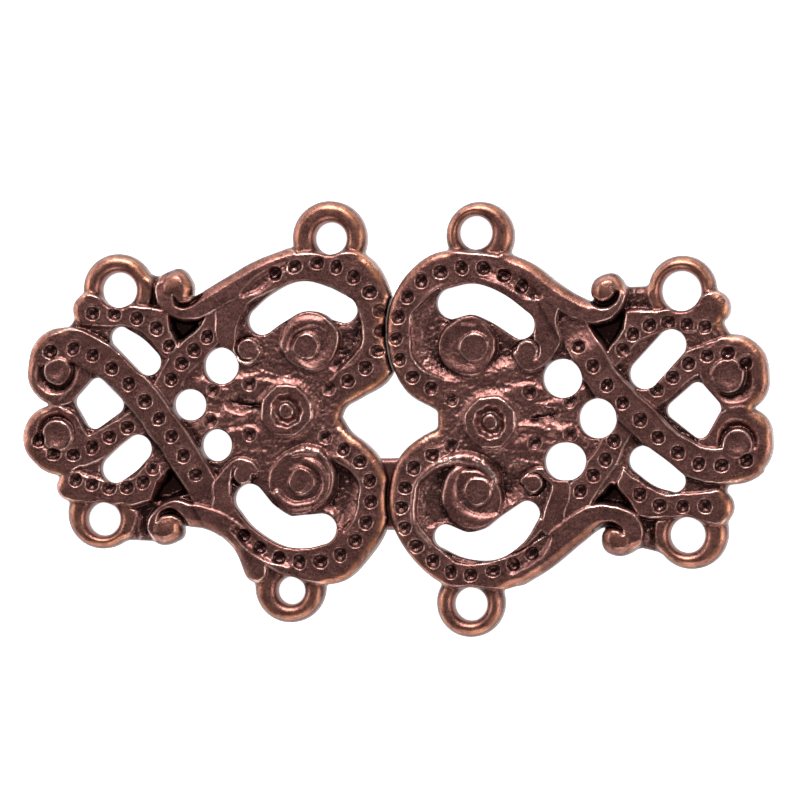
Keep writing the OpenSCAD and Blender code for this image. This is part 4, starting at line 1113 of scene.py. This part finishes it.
# The hook, behind the lower lobe of the hook half: a bar cast in one with the half, which comes down from its
# back and turns away from the other half, so that the eye can slip over it.
def hook_bar():
    """Vertices and faces of the hook. Section: superellipse of power 4. Path: straight down, quarter turn,
    straight on, thinner and narrower towards the tip."""
    turn_r, foot_z, sides = 0.6, 0.3, 24
    turn = np.linspace(0, np.pi / 2, 9)
    path_x = np.r_[2.15, 2.15, 2.15 + turn_r * (1 - np.cos(turn)), 3.4, 4.1, 4.36]
    path_z = np.r_[2.1, 1.5, foot_z + turn_r * (1 - np.sin(turn)), foot_z, foot_z, foot_z]
    tang = np.gradient(np.c_[path_x, path_z], axis=0)
    tang /= np.linalg.norm(tang, axis=1)[:, None]
    thick = np.r_[0.5, 0.5, np.linspace(0.5, 0.3, 9), 0.3, 0.27, 0.16]
    wide = np.r_[1, 1, np.full(9, 1), 1, 0.85, 0.55]
    a = np.linspace(0, 2 * np.pi, sides + 1)[:-1]
    ca, sa = np.sign(np.cos(a)) * np.abs(np.cos(a)) ** 0.5, np.sign(np.sin(a)) * np.abs(np.sin(a)) ** 0.5
    normal = np.c_[-tang[:, 1], tang[:, 0]]
    ring_x = path_x[:, None] + normal[:, :1] * thick[:, None] * ca
    ring_z = path_z[:, None] + normal[:, 1:] * thick[:, None] * ca
    ring_y = EYE_AT[1] + wide[:, None] * sa
    tips = [(path_x[0], EYE_AT[1], path_z[0]), (path_x[-1], EYE_AT[1], path_z[-1])]
    verts = np.vstack([np.stack([ring_x, ring_y, ring_z], -1).reshape(-1, 3), tips])
    n, m = len(path_x), sides
    i, j = np.meshgrid(np.arange(n - 1), np.arange(m), indexing="ij")
    k = (j + 1) % m
    quads = np.stack([i * m + j, i * m + k, (i + 1) * m + k, (i + 1) * m + j], -1).reshape(-1, 4)
    j, k = j[0], k[0]
    ends = [np.c_[k, j, np.full(m, n * m)], np.c_[(n - 1) * m + j, (n - 1) * m + k, np.full(m, n * m + 1)]]
    return verts, [quads[:, ::-1], np.vstack(ends)[:, ::-1]]


# The eye: a flat ring on a neck, cast in one with the eye half. It reaches under the hook half's lower lobe
# into a pocket in its back, and the hook passes through its slot.
# spacing of its grid, height of its middle, half its thickness, and its slot: x, y, half width, half height
EYE_GRID = 0.2
EYE_MIDDLE = 1.2
EYE_HALF_THICKNESS = 0.4
SLOT = (1.5, -6.8, 1.5, 1.7)
SLOT_CORNER = 0.6


def eye_ring():
    """Vertices and faces of the eye, both faces rounded over towards the edge. Height is the middle height
    plus and minus half the thickness times a quarter ellipse of the distance from the edge. The slot is a
    rounded box."""
    xs, ys = np.arange(-3.6, 5.2, EYE_GRID), np.arange(-10.6, -3.0, EYE_GRID)
    x, y = np.meshgrid(xs, ys)
    sx, sy, hw, hh = SLOT
    qx, qy = np.abs(x - sx) - hw + SLOT_CORNER, np.abs(y - sy) - hh + SLOT_CORNER
    slot = SLOT_CORNER - np.hypot(np.maximum(qx, 0), np.maximum(qy, 0)) - np.minimum(np.maximum(qx, qy), 0)
    plan = np.minimum(eye_field(x, y), -slot)
    u, v, quads, _, border, _ = plan_mesh(plan)
    inside = np.maximum(sample(plan, u, v), 0)
    inside[border] = 0
    w = 1 - np.clip(inside / 0.4, 0, 1)
    rise = EYE_HALF_THICKNESS * np.sqrt(1 - w**2)
    px, py = xs[0] + u * EYE_GRID, ys[0] + v * EYE_GRID
    lower = np.arange(len(u)) + len(u)
    lower[border] = border
    verts = np.vstack([np.c_[px, py, EYE_MIDDLE + rise], np.c_[px, py, EYE_MIDDLE - rise]])
    kept, faces = np.unique(np.vstack([quads, lower[quads][:, ::-1]]), return_inverse=True)
    return verts[kept], [faces.reshape(-1, 4)]


# Antique copper: dark brown plating with a mottled grain. Hollows and dots go nearly black, which is patina
# and partly painted shade, edges go pale, which is wear and partly painted highlight, and the outer rims go
# orange, which is fresh copper and partly painted sheen. Pale specks are painted glints. The first three
# follow the marks that each casting carries.
copper = bpy.data.materials.new("antique_copper")
copper.use_nodes = True
nodes, links = copper.node_tree.nodes, copper.node_tree.links
shader = nodes["Principled BSDF"]
shader.inputs["Metallic"].default_value = 1.0
coordinates = nodes.new("ShaderNodeTexCoord")
MARKS = ("hollow", "wear_and_highlight", "rub_and_sheen")


def noise(scale, detail, rough):
    """Noise on the casting's own metres."""
    node = nodes.new("ShaderNodeTexNoise")
    node.inputs["Scale"].default_value = scale
    node.inputs["Detail"].default_value = detail
    node.inputs["Roughness"].default_value = rough
    links.new(coordinates.outputs["Object"], node.inputs["Vector"])
    return node.outputs["Fac"]


def mark(name):
    """One of the marks that a casting carries at its vertices."""
    node = nodes.new("ShaderNodeAttribute")
    node.attribute_name = name
    return node.outputs["Fac"]


def ranged(source, low, high, to_low, to_high):
    """Values from low to high become to_low to to_high."""
    node = nodes.new("ShaderNodeMapRange")
    for key, value in zip(("From Min", "From Max", "To Min", "To Max"), (low, high, to_low, to_high)):
        node.inputs[key].default_value = value
    links.new(source, node.inputs["Value"])
    return node.outputs["Result"]


def combined(kind, a, b):
    """Two values through one sum or product."""
    node = nodes.new("ShaderNodeMath")
    node.operation = kind
    for socket, value in zip(node.inputs, (a, b)):
        if isinstance(value, float):
            socket.default_value = value
        else:
            links.new(value, socket)
    return node.outputs["Value"]


def tinted(amount, under, over):
    """Colour that goes from one to the other by the amount."""
    node = nodes.new("ShaderNodeMix")
    node.data_type = "RGBA"
    links.new(amount, node.inputs[0])
    for socket, value in ((node.inputs[6], under), (node.inputs[7], over)):
        if isinstance(value, tuple):
            socket.default_value = (*value, 1)
        else:
            links.new(value, socket)
    return node.outputs[2]


# colours from the plating outwards, and the depth of the fine grain
DARK_BROWN, PALE_BROWN = (0.113, 0.048, 0.042), (0.334, 0.148, 0.128)
# orange of the rims: fresh copper, partly painted sheen
FRESH_COPPER_AND_SHEEN = (0.48, 0.2, 0.112)
# pale of the edges: wear, partly painted highlight
WEAR_AND_HIGHLIGHT_COPPER = (0.68, 0.44, 0.385)
# near black of the hollows and dots: patina, partly painted shade
PATINA_AND_SHADE = (0.047, 0.0215, 0.02)
# pale specks painted in as glints
PAINTED_GLINT = (0.7, 0.42, 0.36)
GRAIN_DEPTH = 0.00008
hollow, wear_and_highlight, rub_and_sheen = (mark(name) for name in MARKS)
grain = noise(7000, 3, 0.6)
cloud = noise(900, 4, 0.6)
patch = noise(330, 3, 0.6)
speck = noise(5200, 2, 0.5)
wear_and_highlight_amount = combined("MULTIPLY", wear_and_highlight, ranged(patch, 0.42, 0.6, 0.08, 0.95))
rub_and_sheen_amount = combined("MULTIPLY", rub_and_sheen, ranged(cloud, 0.4, 0.6, 0.2, 1.0))
mottle = combined("ADD", combined("MULTIPLY", grain, 0.6), combined("MULTIPLY", cloud, 0.4))
colour = tinted(ranged(mottle, 0.36, 0.64, 0.0, 1.0), DARK_BROWN, PALE_BROWN)
# rims go orange: rub and painted sheen
colour = tinted(rub_and_sheen_amount, colour, FRESH_COPPER_AND_SHEEN)
# edges go pale: wear and painted highlight
colour = tinted(wear_and_highlight_amount, colour, WEAR_AND_HIGHLIGHT_COPPER)
# hollows, dots and feet go near black: patina and painted shade
colour = tinted(ranged(hollow, 0.12, 0.97, 0.0, 0.9), colour, PATINA_AND_SHADE)
# painted glints in scattered pale specks
colour = tinted(ranged(speck, 0.64, 0.72, 0.0, 0.35), colour, PAINTED_GLINT)
links.new(colour, shader.inputs["Base Color"])
polish = combined("ADD", ranged(wear_and_highlight_amount, 0.0, 1.0, 0.0, -0.1), ranged(hollow, 0.8, 0.95, 0.0, -0.15))
links.new(combined("ADD", ranged(grain, 0.3, 0.7, 0.31, 0.46), polish), shader.inputs["Roughness"])
bump = nodes.new("ShaderNodeBump")
bump.inputs["Distance"].default_value = GRAIN_DEPTH
links.new(ranged(hollow, 0.0, 0.6, 0.45, 0.8), bump.inputs["Strength"])
links.new(mottle, bump.inputs["Height"])
links.new(bump.outputs["Normal"], shader.inputs["Normal"])


# The fastened clasp: each casting is joined with the hook or the eye that was cast with it, turned to its
# place and plated. The halves hold by the hook in the eye alone, and neither is fixed to the other.
MM = 0.001


def build(name, verts, faces, shade):
    """A mesh object from vertices in millimetres, blocks of faces, and the marks of each vertex."""
    mesh = bpy.data.meshes.new(name)
    flat = np.concatenate([f.ravel() for f in faces])
    sizes = np.concatenate([np.full(len(f), f.shape[1]) for f in faces])
    mesh.vertices.add(len(verts))
    mesh.vertices.foreach_set("co", (verts * MM).ravel().astype(np.float32))
    mesh.loops.add(len(flat))
    mesh.loops.foreach_set("vertex_index", flat.astype(np.int32))
    mesh.polygons.add(len(sizes))
    mesh.polygons.foreach_set("loop_start", np.r_[0, np.cumsum(sizes)[:-1]].astype(np.int32))
    mesh.update(calc_edges=True)
    mesh.validate()
    mesh.polygons.foreach_set("use_smooth", np.ones(len(mesh.polygons), bool))
    for i, key in enumerate(MARKS):
        mesh.attributes.new(key, "FLOAT", "POINT").data.foreach_set("value", shade[:, i].astype(np.float32))
    obj = bpy.data.objects.new(name, mesh)
    scene.collection.objects.link(obj)
    return obj


for half, hidden_part in ((HOOK, hook_bar), (EYE, eye_ring)):
    verts, faces, shade = casting(half)
    verts[:, 0], verts[:, 1] = from_own(half["place"], verts[:, 0].copy(), verts[:, 1].copy())
    more_verts, more_faces = hidden_part()
    faces = faces + [f + len(verts) for f in more_faces]
    shade = np.concatenate([shade, np.tile([0.3, 0.1, 0], (len(more_verts), 1))])
    verts = np.concatenate([verts, more_verts])
    piece = build(half["name"] + "_casting", verts, faces, shade)
    piece.data.materials.append(copper)
    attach(piece, "root")
    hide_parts(half["name"])
